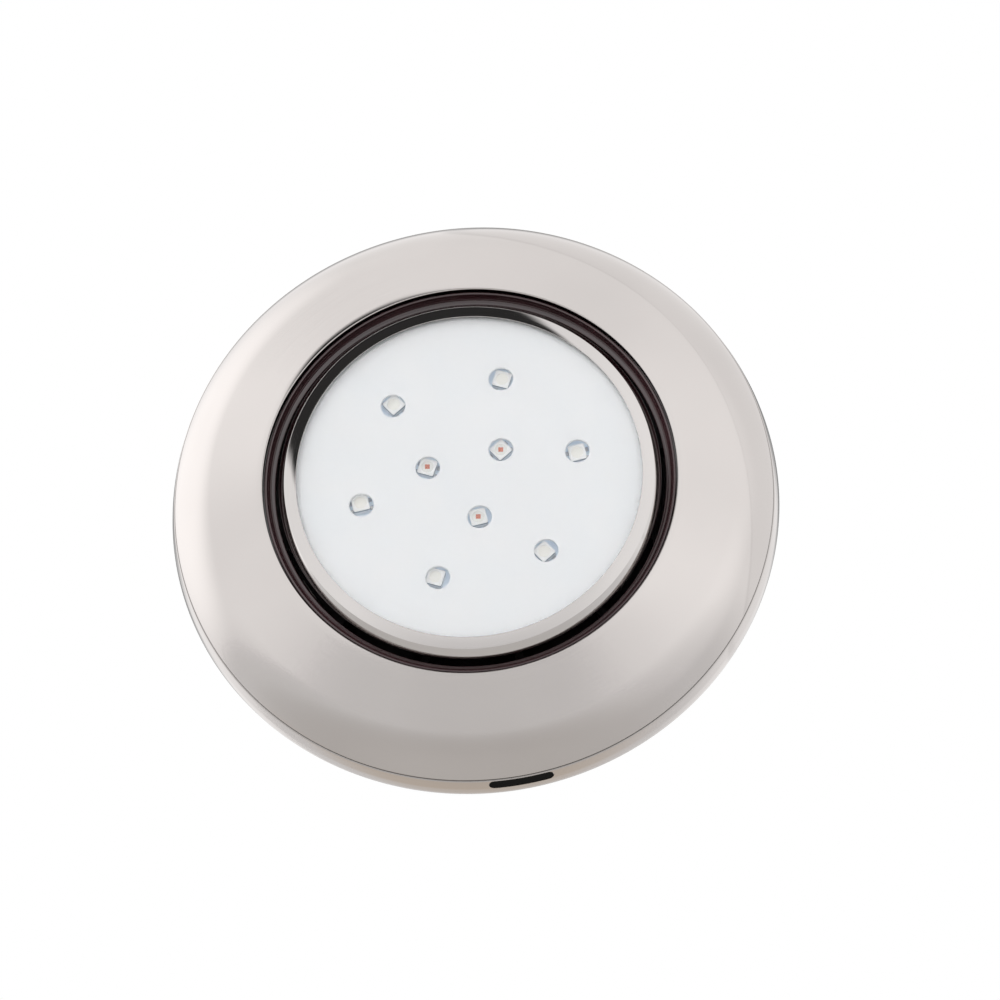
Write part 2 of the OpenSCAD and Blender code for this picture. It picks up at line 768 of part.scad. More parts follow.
face_ring();
ring_carrier();
lens_ring();
lens();
lens_gasket();
mask_plate();
outer_leds();
inner_leds();
red_dies();
led_board();
board_screws();
thermal_pad();
heat_sink();
led_leads();
housing();
wall_gasket();
ring_clips();
clip_screws();
driver_board();
capacitor();
choke_core();
choke_winding();
rectifier();
control_chip();
terminal_block();
supply_leads();
resin_seal();
rear_gasket();
slip_washer();
lock_nut();
gland_body();
gland_washer();
gland_lock_nut();
gland_seal();
gland_slip_ring();
gland_nut();
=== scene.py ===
"""The looks of the underwater pool light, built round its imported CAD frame.

Blender works in metres in the frame's own axes: the face points along -Y, +Z is up, and the wall's
surface is the plane y = 0. Shapes are drawn in millimetres and face up, as (x, y, height) or
(radius, height), where the height is the distance in front of the wall. FACE_UP turns and scales them
into place.
"""
import math

import bmesh
import bpy
from mathutils import Matrix, Vector


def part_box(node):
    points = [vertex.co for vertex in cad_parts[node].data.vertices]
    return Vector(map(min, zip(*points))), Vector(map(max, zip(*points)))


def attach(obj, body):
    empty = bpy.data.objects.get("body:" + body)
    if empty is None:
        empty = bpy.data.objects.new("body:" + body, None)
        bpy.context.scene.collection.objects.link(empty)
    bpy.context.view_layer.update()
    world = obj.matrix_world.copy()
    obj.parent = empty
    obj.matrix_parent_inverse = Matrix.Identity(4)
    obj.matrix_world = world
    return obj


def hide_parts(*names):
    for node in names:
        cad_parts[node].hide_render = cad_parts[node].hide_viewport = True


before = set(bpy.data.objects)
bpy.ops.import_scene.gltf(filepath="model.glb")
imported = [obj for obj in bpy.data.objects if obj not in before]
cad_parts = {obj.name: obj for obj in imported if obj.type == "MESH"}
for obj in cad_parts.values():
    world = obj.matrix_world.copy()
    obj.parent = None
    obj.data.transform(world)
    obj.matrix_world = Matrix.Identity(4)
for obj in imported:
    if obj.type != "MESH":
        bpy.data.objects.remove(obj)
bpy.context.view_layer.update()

MM = 0.001
FACE_UP = Matrix.Scale(MM, 4) @ Matrix.Rotation(math.radians(90), 4, "X")
# How many sides the large and the small round shapes have
SIDES = 384
SMALL_SIDES = 96
# Vertices nearer than this, in metres, are one; edges that turn by more than this, in degrees, look sharp
WELD = 1e-7
SHARP_ANGLE = 32


def extent(node):
    """Outer radius, back height and front height of a CAD node that is centred on the light's axis."""
    low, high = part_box(node)
    return high.x / MM, -high.y / MM, -low.y / MM


# ------------ camera

# The camera looks up at the face from slightly right of its axis
CAMERA_AZIMUTH = math.radians(4.0)
CAMERA_ELEVATION = math.radians(-22.9)
LENS_MM = 500
SENSOR_MM = 36
# Width of the picture at the light, and where its centre lies from the frame's origin
PICTURE_WIDTH = 0.2054
CENTRE_RIGHT = 0.00498
CENTRE_UP = 0.00252


def direction(azimuth, elevation):
    """The unit vector towards an azimuth and elevation in radians; azimuth 0 is -Y and 90 degrees is +X."""
    return Vector((
        math.sin(azimuth) * math.cos(elevation),
        -math.cos(azimuth) * math.cos(elevation),
        math.sin(elevation),
    ))


def make_camera():
    """A long lens, so that the perspective is as weak as in the photograph."""
    optics = bpy.data.cameras.new("camera")
    optics.lens = LENS_MM
    optics.sensor_width = SENSOR_MM
    optics.clip_start = 0.05
    optics.clip_end = 100
    camera = bpy.data.objects.new("camera", optics)
    bpy.context.scene.collection.objects.link(camera)
    back = direction(CAMERA_AZIMUTH, CAMERA_ELEVATION)
    right = Vector((math.cos(CAMERA_AZIMUTH), math.sin(CAMERA_AZIMUTH), 0))
    up = back.cross(right)
    target = right * CENTRE_RIGHT + up * CENTRE_UP
    camera.location = target + back * PICTURE_WIDTH * LENS_MM / SENSOR_MM
    camera.rotation_mode = "QUATERNION"
    camera.rotation_quaternion = (-back).to_track_quat("-Z", "Y")
    bpy.context.scene.camera = camera


# ------------ outlines, in millimetres


def arc(centre, radius, start, end, steps):
    """Points along an arc, its angles in degrees."""
    angles = [math.radians(start + (end - start) * i / steps) for i in range(steps + 1)]
    return [(centre[0] + radius * math.cos(a), centre[1] + radius * math.sin(a)) for a in angles]


def rounded(corners, steps=5):
    """A closed outline from corners (x, y) or (x, y, radius), each one with a radius rounded by an arc."""
    outline = []
    for i, corner in enumerate(corners):
        here = Vector(corner[:2])
        if len(corner) == 2:
            outline.append(tuple(here))
            continue
        before = Vector(corners[i - 1][:2]) - here
        after = Vector(corners[(i + 1) % len(corners)][:2]) - here
        half = before.angle(after) / 2
        reach = min(corner[2] / math.tan(half), 0.48 * before.length, 0.48 * after.length)
        radius = reach * math.tan(half)
        towards = (before.normalized() + after.normalized()).normalized()
        centre = here + towards * radius / math.sin(half)
        first = here + before.normalized() * reach - centre
        last = here + after.normalized() * reach - centre
        sweep = first.angle_signed(last)
        for k in range(steps + 1):
            spoke = first.copy()
            spoke.rotate(Matrix.Rotation(-sweep * k / steps, 2))
            outline.append(tuple(centre + spoke))
    return outline


def divided(outline, longest=1.5, closed=True):
    """The outline with its long straight stretches cut into equal parts, so that no face is very long.
    The last point of a closed outline runs on to the first."""
    result = []
    for here, after in zip(outline, outline[1:] + (outline[:1] if closed else [])):
        parts = max(1, math.ceil((Vector(after) - Vector(here)).length / longest))
        if here[0] < 1e-6 and after[0] < 1e-6:
            parts = 1
        result += [tuple(Vector(here).lerp(Vector(after), k / parts)) for k in range(parts)]
    return result if closed else result + outline[-1:]


# ------------ meshes


def new_object(name, mesh):
    """An object in the scene made of the mesh, which is used up."""
    data = bpy.data.meshes.new(name)
    mesh.to_mesh(data)
    mesh.free()
    made = bpy.data.objects.new(name, data)
    bpy.context.scene.collection.objects.link(made)
    return made


def spin_rows(mesh, rows, sides, place=None, closed=True):
    """Turns rows of (radius, height) round the height axis; a radius may be a function of the angle.
    Returns each row's vertices."""
    place = FACE_UP @ (place or Matrix.Identity(4))
    loops = []
    for radius, height in rows:
        if not callable(radius) and radius < 1e-6:
            loops.append([mesh.verts.new(place @ Vector((0, 0, height)))])
            continue
        loop = []
        for j in range(sides):
            angle = 2 * math.pi * j / sides
            r = radius(angle) if callable(radius) else radius
            loop.append(mesh.verts.new(place @ Vector((r * math.cos(angle), r * math.sin(angle), height))))
        loops.append(loop)
    pairs = list(zip(loops, loops[1:] + loops[:1]))
    for one, two in pairs if closed else pairs[:-1]:
        for j in range(sides):
            k = (j + 1) % sides
            ring = [one[j % len(one)], one[k % len(one)], two[k % len(two)], two[j % len(two)]]
            corners = list(dict.fromkeys(ring))
            if len(corners) > 2:
                mesh.faces.new(corners)
    return loops


def smoothstep(x):
    x = min(max(x, 0.0), 1.0)
    return x * x * (3 - 2 * x)


THREAD_STEPS = 12


def add_thread(mesh, root, crest, start, end, pitch, sides, shift=0.0):
    """A right-hand thread from height start down to end, fading into the root radius at both ends.
    shift moves it along by that share of the pitch."""
    length = start - end
    turns = math.ceil(length / pitch)
    grid = []
    for k in range(-THREAD_STEPS, (turns + 2) * THREAD_STEPS):
        share = k / THREAD_STEPS
        rise = 1 - abs(2 * ((share + shift) % 1.0) - 1)
        depth = smoothstep((rise - 0.12) / 0.76)
        row = []
        for j in range(sides + 1):
            along = min(max((share - j / sides) * pitch, 0.0), length)
            fade = smoothstep(min(along, length - along) / pitch / 0.8)
            r = root + (crest - root) * depth * fade
            angle = 2 * math.pi * j / sides
            point = Vector((r * math.cos(angle), r * math.sin(angle), start - along))
            row.append(mesh.verts.new(FACE_UP @ point))
        grid.append(row)
    for one, two in zip(grid, grid[1:]):
        for j in range(sides):
            mesh.faces.new((one[j], one[j + 1], two[j + 1], two[j]))


def add_box(mesh, low, high, place=None):
    """A box between two corners in millimetres."""
    place = FACE_UP @ (place or Matrix.Identity(4))
    corners = [
        mesh.verts.new(place @ Vector((x, y, z)))
        for x in (low[0], high[0]) for y in (low[1], high[1]) for z in (low[2], high[2])
    ]
    for face in ((0, 1, 3, 2), (4, 6, 7, 5), (0, 4, 5, 1), (2, 3, 7, 6), (0, 2, 6, 4), (1, 5, 7, 3)):
        mesh.faces.new([corners[i] for i in face])


def add_strip(mesh, outline, low, high, place=None):
    """A flat outline of (x, height) points made into a bar from y = low to y = high."""
    place = FACE_UP @ (place or Matrix.Identity(4))
    near = [mesh.verts.new(place @ Vector((x, low, h))) for x, h in outline]
    far = [mesh.verts.new(place @ Vector((x, high, h))) for x, h in outline]
    mesh.faces.new(near)
    mesh.faces.new(list(reversed(far)))
    for i in range(len(outline)):
        k = (i + 1) % len(outline)
        mesh.faces.new((near[k], near[i], far[i], far[k]))


def finish_piece(name, mesh, body, material, nodes=(), sharp=SHARP_ANGLE):
    """Makes an object of the mesh, rides it on its body and lets it stand for its CAD nodes."""
    bmesh.ops.remove_doubles(mesh, verts=mesh.verts, dist=WELD)
    bmesh.ops.recalc_face_normals(mesh, faces=mesh.faces)
    piece = new_object(name, mesh)
    smooth(piece.data, sharp)
    piece.data.materials.append(material)
    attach(piece, body)
    if nodes:
        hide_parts(*nodes)
    return piece


def smooth(data, sharp):
    """Smooth shading, except across edges that turn by more than sharp degrees."""
    data.polygons.foreach_set("use_smooth", [True] * len(data.polygons))
    data.set_sharp_from_angle(angle=math.radians(sharp))


def lathe_piece(name, outline, body, material, nodes=(), sides=SIDES):
    """A piece turned round the light's axis from a closed outline."""
    mesh = bmesh.new()
    spin_rows(mesh, divided(outline), sides)
    return finish_piece(name, mesh, body, material, nodes)


def bevel(piece, width, segments=3):
    """Rounds the sharp edges of a piece."""
    modifier = piece.modifiers.new("bevel", "BEVEL")
    modifier.width = width * MM
    modifier.segments = segments
    modifier.limit_method = "ANGLE"
    modifier.angle_limit = math.radians(35)
    modifier.harden_normals = False
    return piece


def carve(piece, cutter):
    """Cuts the cutter out of the piece for good, and removes the cutter."""
    modifier = piece.modifiers.new("cut", "BOOLEAN")
    modifier.operation = "DIFFERENCE"
    modifier.solver = "EXACT"
    modifier.object = cutter
    depsgraph = bpy.context.evaluated_depsgraph_get()
    carved = bpy.data.meshes.new_from_object(piece.evaluated_get(depsgraph))
    piece.modifiers.clear()
    piece.data = carved
    bpy.data.objects.remove(cutter)
    smooth(carved, SHARP_ANGLE)


def at(radius, degrees):
    """A place on a circle, turned to face outwards."""
    return Matrix.Rotation(math.radians(degrees), 4, "Z") @ Matrix.Translation((radius, 0, 0))


def polygon_radius(across_flats, corners):
    """The radius function of a regular polygon with a flat at angle 0."""
    step = 2 * math.pi / corners
    return lambda angle: across_flats / 2 / math.cos((angle + step / 2) % step - step / 2)


# ------------ materials


def add(tree, kind, inputs=None, **settings):
    """Adds a node, sets its properties, and links or sets its inputs."""
    node = tree.nodes.new(kind)
    for key, value in settings.items():
        setattr(node, key, value)
    for key, value in (inputs or {}).items():
        if isinstance(value, bpy.types.NodeSocket):
            tree.links.new(value, node.inputs[key])
        else:
            node.inputs[key].default_value = value
    return node


def new_material(name, **sockets):
    """A material with one Principled shader, its uniform values set on the shader's own sockets."""
    material = bpy.data.materials.new(name)
    material.use_nodes = True
    tree = material.node_tree
    shader = tree.nodes["Principled BSDF"]
    for key, value in sockets.items():
        shader.inputs[key.replace("_", " ")].default_value = value
    return material, tree, shader


def place_of(tree):
    return add(tree, "ShaderNodeTexCoord").outputs["Object"]


def scaled(tree, vector, scale):
    return add(tree, "ShaderNodeVectorMath", {0: vector, 1: scale}, operation="MULTIPLY").outputs[0]


def noise(tree, vector, scale, detail=3.0, roughness=0.55):
    """A noise value about 0.5; the scale is in features per metre."""
    return add(
        tree, "ShaderNodeTexNoise",
        {"Vector": vector, "Scale": scale, "Detail": detail, "Roughness": roughness},
    ).outputs["Fac"]


def between(tree, value, low, high, from_low=0.3, from_high=0.7):
    """The value spread over a range."""
    return add(
        tree, "ShaderNodeMapRange",
        {"Value": value, "From Min": from_low, "From Max": from_high, "To Min": low, "To Max": high},
    ).outputs["Result"]


def eased(tree, value, start, stop, low=0.0):
    """Rises from low to 1, with smooth ends, as the value goes from start to stop."""
    return add(
        tree, "ShaderNodeMapRange",
        {"Value": value, "From Min": start, "From Max": stop, "To Min": low, "To Max": 1.0},
        interpolation_type="SMOOTHSTEP",
    ).outputs["Result"]


def tinted(tree, factor, one, two):
    """A colour between two colours."""
    mix = add(tree, "ShaderNodeMix", {"Factor": factor}, data_type="RGBA")
    mix.inputs["A"].default_value = (*one, 1)
    mix.inputs["B"].default_value = (*two, 1)
    return mix.outputs["Result"]


def mixed(tree, one, two, share=0.5):
    """A mix of two values."""
    mix = add(tree, "ShaderNodeMix", {"Factor": share, "A": one, "B": two}, data_type="FLOAT")
    return mix.outputs["Result"]


def bumped(tree, shader, height, distance):
    """A bump of the given height in millimetres."""
    bump = add(tree, "ShaderNodeBump", {"Height": height, "Strength": 1.0, "Distance": distance * MM})
    tree.links.new(bump.outputs["Normal"], shader.inputs["Normal"])


def product(tree, one, two):
    return add(tree, "ShaderNodeMath", {0: one, 1: two}, operation="MULTIPLY").outputs[0]


def from_axis(tree):
    """The offset from the light's axis as a flat vector, its length, and the place along the axis."""
    x, y, z = add(tree, "ShaderNodeSeparateXYZ", {"Vector": place_of(tree)}).outputs
    flat = add(tree, "ShaderNodeCombineXYZ", {"X": x, "Y": z}).outputs[0]
    return flat, add(tree, "ShaderNodeVectorMath", {0: flat}, operation="LENGTH").outputs["Value"], y


def rounds(tree, fine):
    """Noise drawn out round the light's axis, as turning and polishing leave it."""
    flat, radius, y = from_axis(tree)
    unit = add(tree, "ShaderNodeVectorMath", {0: flat}, operation="NORMALIZE").outputs[0]
    across = add(tree, "ShaderNodeMath", {0: radius, 1: y}, operation="ADD").outputs[0]
    offset = add(tree, "ShaderNodeCombineXYZ", {"Z": product(tree, across, fine)}).outputs[0]
    turn = scaled(tree, unit, (3, 3, 0))
    vector = add(tree, "ShaderNodeVectorMath", {0: turn, 1: offset}, operation="ADD").outputs[0]
    return noise(tree, vector, 1.0, detail=4.0)


def polished_metal(name, colour, low, high):
    """Polished sheet metal: faint stains, and hairlines from the polishing wheel that run round it."""
    material, tree, shader = new_material(name, Metallic=1.0)
    stains = noise(tree, place_of(tree), 45.0, 2.0)
    lines = rounds(tree, 2600.0)
    specks = noise(tree, place_of(tree), 3500.0, 2.0)
    deep = [c * 0.965 for c in colour]
    tree.links.new(tinted(tree, between(tree, stains, 0, 1), deep, colour), shader.inputs["Base Color"])
    worn = mixed(tree, lines, stains, 0.45)
    tree.links.new(between(tree, worn, low, high, 0.35, 0.65), shader.inputs["Roughness"])
    bumped(tree, shader, mixed(tree, lines, specks, 0.3), 0.0012)
    return material


def shaded_crease(material, radius, low, high):
    """Paints shade, with polishing dirt left in it, into a crease: darkens and dulls the metal between two
    heights and outside a radius.
    """
    tree = material.node_tree
    shader = tree.nodes["Principled BSDF"]
    _, away, y = from_axis(tree)
    soft = 0.12 * MM
    mask = between(tree, away, 0, 1, radius * MM, (radius + 0.1) * MM)
    mask = product(tree, mask, between(tree, y, 0, 1, -high * MM, -high * MM + soft))
    mask = product(tree, mask, between(tree, y, 1, 0, -low * MM - soft, -low * MM))
    clean = shader.inputs["Base Color"].links[0].from_socket
    mix = add(tree, "ShaderNodeMix", {"Factor": mask}, data_type="RGBA")
    tree.links.new(clean, mix.inputs["A"])
    # The colour of the painted shade and dirt in the crease
    mix.inputs["B"].default_value = (0.06, 0.055, 0.052, 1)
    tree.links.new(mix.outputs["Result"], shader.inputs["Base Color"])
    gloss = shader.inputs["Roughness"].links[0].from_socket
    tree.links.new(mixed(tree, gloss, 0.5, mask), shader.inputs["Roughness"])


def moulded(name, colour, roughness, grain, depth, contrast=0.12, **sockets):
    """A moulded plastic or rubber: a fine grain in the surface, and slow changes of shade and gloss."""
    material, tree, shader = new_material(name, **sockets)
    place = place_of(tree)
    slow = noise(tree, place, 90.0, 3.0)
    fine = noise(tree, place, grain, 3.0, 0.6)
    light = [min(1.0, c * (1 + contrast)) for c in colour]
    dark = [c * (1 - contrast) for c in colour]
    shade = mixed(tree, slow, fine, 0.35)
    tree.links.new(tinted(tree, between(tree, shade, 0, 1), dark, light), shader.inputs["Base Color"])
    gloss = between(tree, shade, roughness * 0.82, min(1.0, roughness * 1.18))
    tree.links.new(gloss, shader.inputs["Roughness"])
    bumped(tree, shader, fine, depth)
    return material


def led_body(name, colour, side):
    """A small pale package, its upright sides painted darker for half a millimetre under the chamfer:
    painted shade for the shadow line round the package in its hole.
    """
    material, tree, shader = new_material(name, Roughness=0.4)
    place = place_of(tree)
    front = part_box("outer_leds")[0].y
    depth = add(tree, "ShaderNodeSeparateXYZ", {"Vector": place}).outputs[1]
    under_chamfer = between(tree, depth, 0, 1, front + 0.09 * MM, front + 0.12 * MM)
    near_front = between(tree, depth, 1, 0, front + 0.5 * MM, front + 0.7 * MM)
    share = product(tree, under_chamfer, near_front)
    tree.links.new(tinted(tree, share, colour, side), shader.inputs["Base Color"])
    bumped(tree, shader, noise(tree, place, 6000.0, 3.0), 0.004)
    return material


def brushed_metal(name, colour, roughness, scale):
    """Metal with grain drawn along one way, as rolling or a brush leaves it."""
    material, tree, shader = new_material(name, Metallic=1.0)
    place = place_of(tree)
    grain = noise(tree, scaled(tree, place, scale), 1.0, 5.0, 0.65)
    slow = noise(tree, place, 150.0, 2.0)
    dark = [c * 0.8 for c in colour]
    worn = between(tree, mixed(tree, grain, slow), 0, 1)
    tree.links.new(tinted(tree, worn, dark, colour), shader.inputs["Base Color"])
    tree.links.new(between(tree, grain, roughness * 0.7, roughness * 1.3), shader.inputs["Roughness"])
    bumped(tree, shader, grain, 0.004)
    return material


def clear_plastic(name):
    """The lens: clear, with faint polishing haze and a few fine scratches."""
    material, tree, shader = new_material(name, IOR=1.49, Transmission_Weight=1.0)
    place = place_of(tree)
    haze = noise(tree, place, 120.0, 2.0)
    scratches = noise(tree, scaled(tree, place, (9000, 200, 350)), 1.0, 2.0)
    faint = tinted(tree, between(tree, haze, 0, 1), (0.985, 0.992, 0.996), (1, 1, 1))
    tree.links.new(faint, shader.inputs["Base Color"])
    tree.links.new(between(tree, haze, 0.0, 0.03), shader.inputs["Roughness"])
    bumped(tree, shader, scratches, 0.0003)
    return material


def solder_mask(name, colour, under, **sockets):
    """A circuit board: lacquer over the faint steps of copper tracks."""
    material, tree, shader = new_material(name, **sockets)
    place = place_of(tree)
    tracks = add(
        tree, "ShaderNodeTexVoronoi", {"Vector": scaled(tree, place, (1, 0, 1)), "Scale": 240.0},
        distance="CHEBYCHEV",
    ).outputs["Distance"]
    grain = noise(tree, place, 4200.0, 2.0)
    edge = between(tree, tracks, 0, 1, 0.42, 0.47)
    tree.links.new(tinted(tree, edge, colour, under), shader.inputs["Base Color"])
    tree.links.new(between(tree, grain, 0.3, 0.45), shader.inputs["Roughness"])
    bumped(tree, shader, mixed(tree, edge, grain, 0.2), 0.02)
    return material


LIGHT_STEEL = (0.511, 0.481, 0.467)
CHROME = (0.519, 0.496, 0.485)
MATERIALS = {
    "polished_steel": polished_metal("polished_steel", LIGHT_STEEL, 0.04, 0.13),
    "chrome_plate": polished_metal("chrome_plate", CHROME, 0.03, 0.09),
    "clear_lens": clear_plastic("clear_lens"),
    "silicone": moulded("silicone", (0.62, 0.62, 0.60), 0.5, 2600.0, 0.01, 0.05),
    "white_mask": moulded("white_mask", (0.96, 0.97, 0.985), 0.42, 1800.0, 0.004, 0.008),
    # The packages' second colour is painted shade on their upright sides
    "led_package": led_body("led_package", (0.95, 0.95, 0.94), (0.16, 0.20, 0.25)),
    "red_die": moulded("red_die", (0.64, 0.17, 0.09), 0.25, 9000.0, 0.002, 0.15),
    # The board's faint light stands in for daylight that comes through the white plate
    "board_white": solder_mask(
        "board_white", (0.80, 0.88, 0.96), (0.75, 0.84, 0.93),
        Emission_Color=(0.75, 0.86, 1, 1), Emission_Strength=0.16,
    ),
    "spring_steel": brushed_metal("spring_steel", (0.56, 0.55, 0.54), 0.28, (900, 900, 9000)),
    "thermal_pad": moulded("thermal_pad", (0.30, 0.33, 0.38), 0.7, 3800.0, 0.02),
    "heat_sink": brushed_metal("heat_sink", (0.74, 0.75, 0.76), 0.35, (700, 9000, 700)),
    "red_wire": moulded("red_wire", (0.55, 0.05, 0.04), 0.4, 2500.0, 0.006),
    "black_gloss": moulded(
        "black_gloss", (0.030, 0.012, 0.014), 0.10, 1400.0, 0.0015, 0.25, Specular_IOR_Level=0.85
    ),
    "black_abs": moulded("black_abs", (0.028, 0.028, 0.030), 0.46, 3600.0, 0.012, 0.22),
    "gasket_rubber": moulded(
        "gasket_rubber", (0.035, 0.035, 0.037), 0.72, 5200.0, 0.012, 0.18, Specular_IOR_Level=0.35
    ),
    "green_board": solder_mask("green_board", (0.02, 0.16, 0.07), (0.05, 0.26, 0.12)),
    "capacitor_sleeve": moulded("capacitor_sleeve", (0.04, 0.05, 0.12), 0.25, 1500.0, 0.005),
    "ferrite": moulded("ferrite", (0.06, 0.06, 0.065), 0.55, 6000.0, 0.02),
    "copper_wire": brushed_metal("copper_wire", (0.72, 0.36, 0.18), 0.3, (300, 9000, 300)),
    "black_epoxy": moulded("black_epoxy", (0.03, 0.03, 0.032), 0.5, 7000.0, 0.006),
    "terminal_green": moulded("terminal_green", (0.03, 0.20, 0.13), 0.4, 3000.0, 0.006),
    "black_wire": moulded("black_wire", (0.03, 0.03, 0.03), 0.45, 2500.0, 0.006),
    "potting_resin": moulded("potting_resin", (0.04, 0.04, 0.045), 0.22, 400.0, 0.03, 0.1),
    "black_nylon": moulded("black_nylon", (0.030, 0.030, 0.032), 0.4, 3000.0, 0.010, 0.2),
    "gland_nylon": moulded("gland_nylon", (0.035, 0.035, 0.038), 0.36, 2600.0, 0.010, 0.2),
    "acetal": moulded("acetal", (0.62, 0.62, 0.58), 0.35, 2200.0, 0.006, 0.05),
}
PHOSPHOR = moulded("phosphor", (0.93, 0.915, 0.86), 0.16, 5000.0, 0.003, 0.03, Coat_Weight=0.6)
CLEAR_RESIN = moulded("clear_resin", (0.86, 0.85, 0.82), 0.12, 5000.0, 0.003, 0.02, Coat_Weight=0.8)
LUG_BLACK = moulded("lug_black", (0.003, 0.003, 0.003), 0.6, 3000.0, 0.008, 0.2, Specular_IOR_Level=0.05)
SCREW_STEEL = brushed_metal("screw_steel", (0.62, 0.62, 0.61), 0.22, (2500, 2500, 2500))
SOLDER = moulded("solder", (0.60, 0.60, 0.60), 0.3, 2500.0, 0.006, 0.1, Metallic=1.0)


# ------------ the face

# The face ring: its opening, its sheet's thickness, its hem's width and its cone's slope in degrees
FACE_R, FACE_BACK, _ = extent("face_ring")
MOUTH_R = 42.7
MOUTH_H = 17.2
SHEET = 1.0
HEM = 2.2
CONE_SLOPE = 22.8
SLOPE = math.radians(CONE_SLOPE)
# The round shoulder between the cone and the crease above the side band
SHOULDER_R = 16.0
SHOULDER_FROM_R = FACE_R - 8.8
SHOULDER_AT = (
    SHOULDER_FROM_R - SHOULDER_R * math.sin(SLOPE),
    MOUTH_H - (SHOULDER_FROM_R - MOUTH_R) * math.tan(SLOPE) - SHOULDER_R * math.cos(SLOPE),
)
CREASE_R = FACE_R - 1.0
CREASE_TURN = math.degrees(math.acos((CREASE_R - SHOULDER_AT[0]) / SHOULDER_R))
CREASE_H = SHOULDER_AT[1] + SHOULDER_R * math.sin(math.radians(CREASE_TURN))
# The small ledge under the crease, where the side band starts
LEDGE = (CREASE_R + 0.25, CREASE_H - 0.42)
# The sheet's edge is rolled round the opening, then turns down into a lip
ROLL_R = 0.2
ROLL_AT = (
    MOUTH_R + ROLL_R / 2 - ROLL_R * math.sin(SLOPE),
    MOUTH_H - ROLL_R / 2 * math.tan(SLOPE) - ROLL_R * math.cos(SLOPE),
)
LIP_END_H = 14.2
# The slot in the side band for a lever, and the carrier's lug that fills it
SLOT_LEN = 13.5
SLOT_W = 2.5
SLOT_AT = -81
SLOT_H = CREASE_H - 0.5 - SLOT_W / 2
# Where the side band is drawn in a little between its foot and the ledge
BAND_MIDDLE = (FACE_R - 0.22, 2.6)


def band_radius(height):
    """The side band's outer radius at a height in front of the wall."""
    corners = [(FACE_R, FACE_BACK), BAND_MIDDLE, LEDGE]
    for (low_r, low_h), (high_r, high_h) in zip(corners, corners[1:]):
        if height <= high_h:
            break
    return low_r + (high_r - low_r) * (height - low_h) / (high_h - low_h)


def face_ring():
    """The polished face ring: side band, crease, shoulder, cone, edge roll, lip and turned-in hem."""
    under = SHOULDER_R - SHEET
    under_turn = math.degrees(math.acos((CREASE_R - 0.35 - SHEET - SHOULDER_AT[0]) / under))
    lip_r = ROLL_AT[0] - ROLL_R
    under_cone = (MOUTH_R + 0.8, MOUTH_H - 0.8 * math.tan(SLOPE) - SHEET / math.cos(SLOPE))
    outline = rounded(
        [(FACE_R, FACE_BACK, 0.3), (*BAND_MIDDLE, 8), (*LEDGE, 0.15)]
        + [(CREASE_R - 0.35, CREASE_H - 0.22, 0.05), (CREASE_R, CREASE_H, 0.08)]
        + arc(SHOULDER_AT, SHOULDER_R, CREASE_TURN, 90 - CONE_SLOPE, 48)[1:]
        + arc(ROLL_AT, ROLL_R, 90 - CONE_SLOPE, 180, 10)
        + [(lip_r, LIP_END_H, 0.15), (lip_r + SHEET, LIP_END_H, 0.15), (*under_cone, 0.4)]
        + arc(SHOULDER_AT, under, 90 - CONE_SLOPE, under_turn, 24)
        + [(FACE_R - SHEET - 0.4, 2.3, 0.4), (FACE_R - HEM, 1.6, 0.3), (FACE_R - HEM, FACE_BACK, 0.3)]
    )
    metal = MATERIALS["polished_steel"]
    # Painted shade, with polishing dirt, darkens the crease under the shoulder
    shaded_crease(metal, CREASE_R - 0.6, LEDGE[1], CREASE_H - 0.04)
    piece = lathe_piece("face_ring_skin", outline, "escutcheon", metal, ["face_ring"])
    mesh = bmesh.new()
    slot = arc(((SLOT_LEN - SLOT_W) / 2, SLOT_H), SLOT_W / 2, -90, 90, 12)
    slot += arc(((SLOT_W - SLOT_LEN) / 2, SLOT_H), SLOT_W / 2, 90, 270, 12)
    add_strip(mesh, slot, -FACE_R - 3, 4 - FACE_R, at(0, SLOT_AT + 90))
    bmesh.ops.recalc_face_normals(mesh, faces=mesh.faces)
    carve(piece, new_object("slot_cutter", mesh))


def add_lug(mesh, inner):
    """The carrier's lug, a bar with round ends in the slot, its front just under the band's surface."""
    half_len = SLOT_LEN / 2 - 0.1
    half_w = SLOT_W / 2 - 0.1
    columns, rows = 48, 8
    sides = []
    for surface in (lambda h: band_radius(h) - 0.07, lambda h: inner):
        grid = []
        for i in range(columns + 1):
            along = -half_len * math.cos(math.pi * i / columns)
            past = max(0.0, abs(along) - (half_len - half_w))
            reach = math.sqrt(max(half_w ** 2 - past ** 2, 0.0))
            turn = math.radians(SLOT_AT) + along / FACE_R
            column = []
            for k in range(rows + 1):
                h = SLOT_H + reach * (2 * k / rows - 1)
                point = Vector((surface(h) * math.cos(turn), surface(h) * math.sin(turn), h))
                column.append(mesh.verts.new(FACE_UP @ point))
            grid.append(column)
        for one, two in zip(grid, grid[1:]):
            for k in range(rows):
                mesh.faces.new((one[k], one[k + 1], two[k + 1], two[k]))
        sides.append(grid)
    front, back = sides
    for i in range(columns):
        for k in (0, rows):
            mesh.faces.new((front[i][k], front[i + 1][k], back[i + 1][k], back[i][k]))


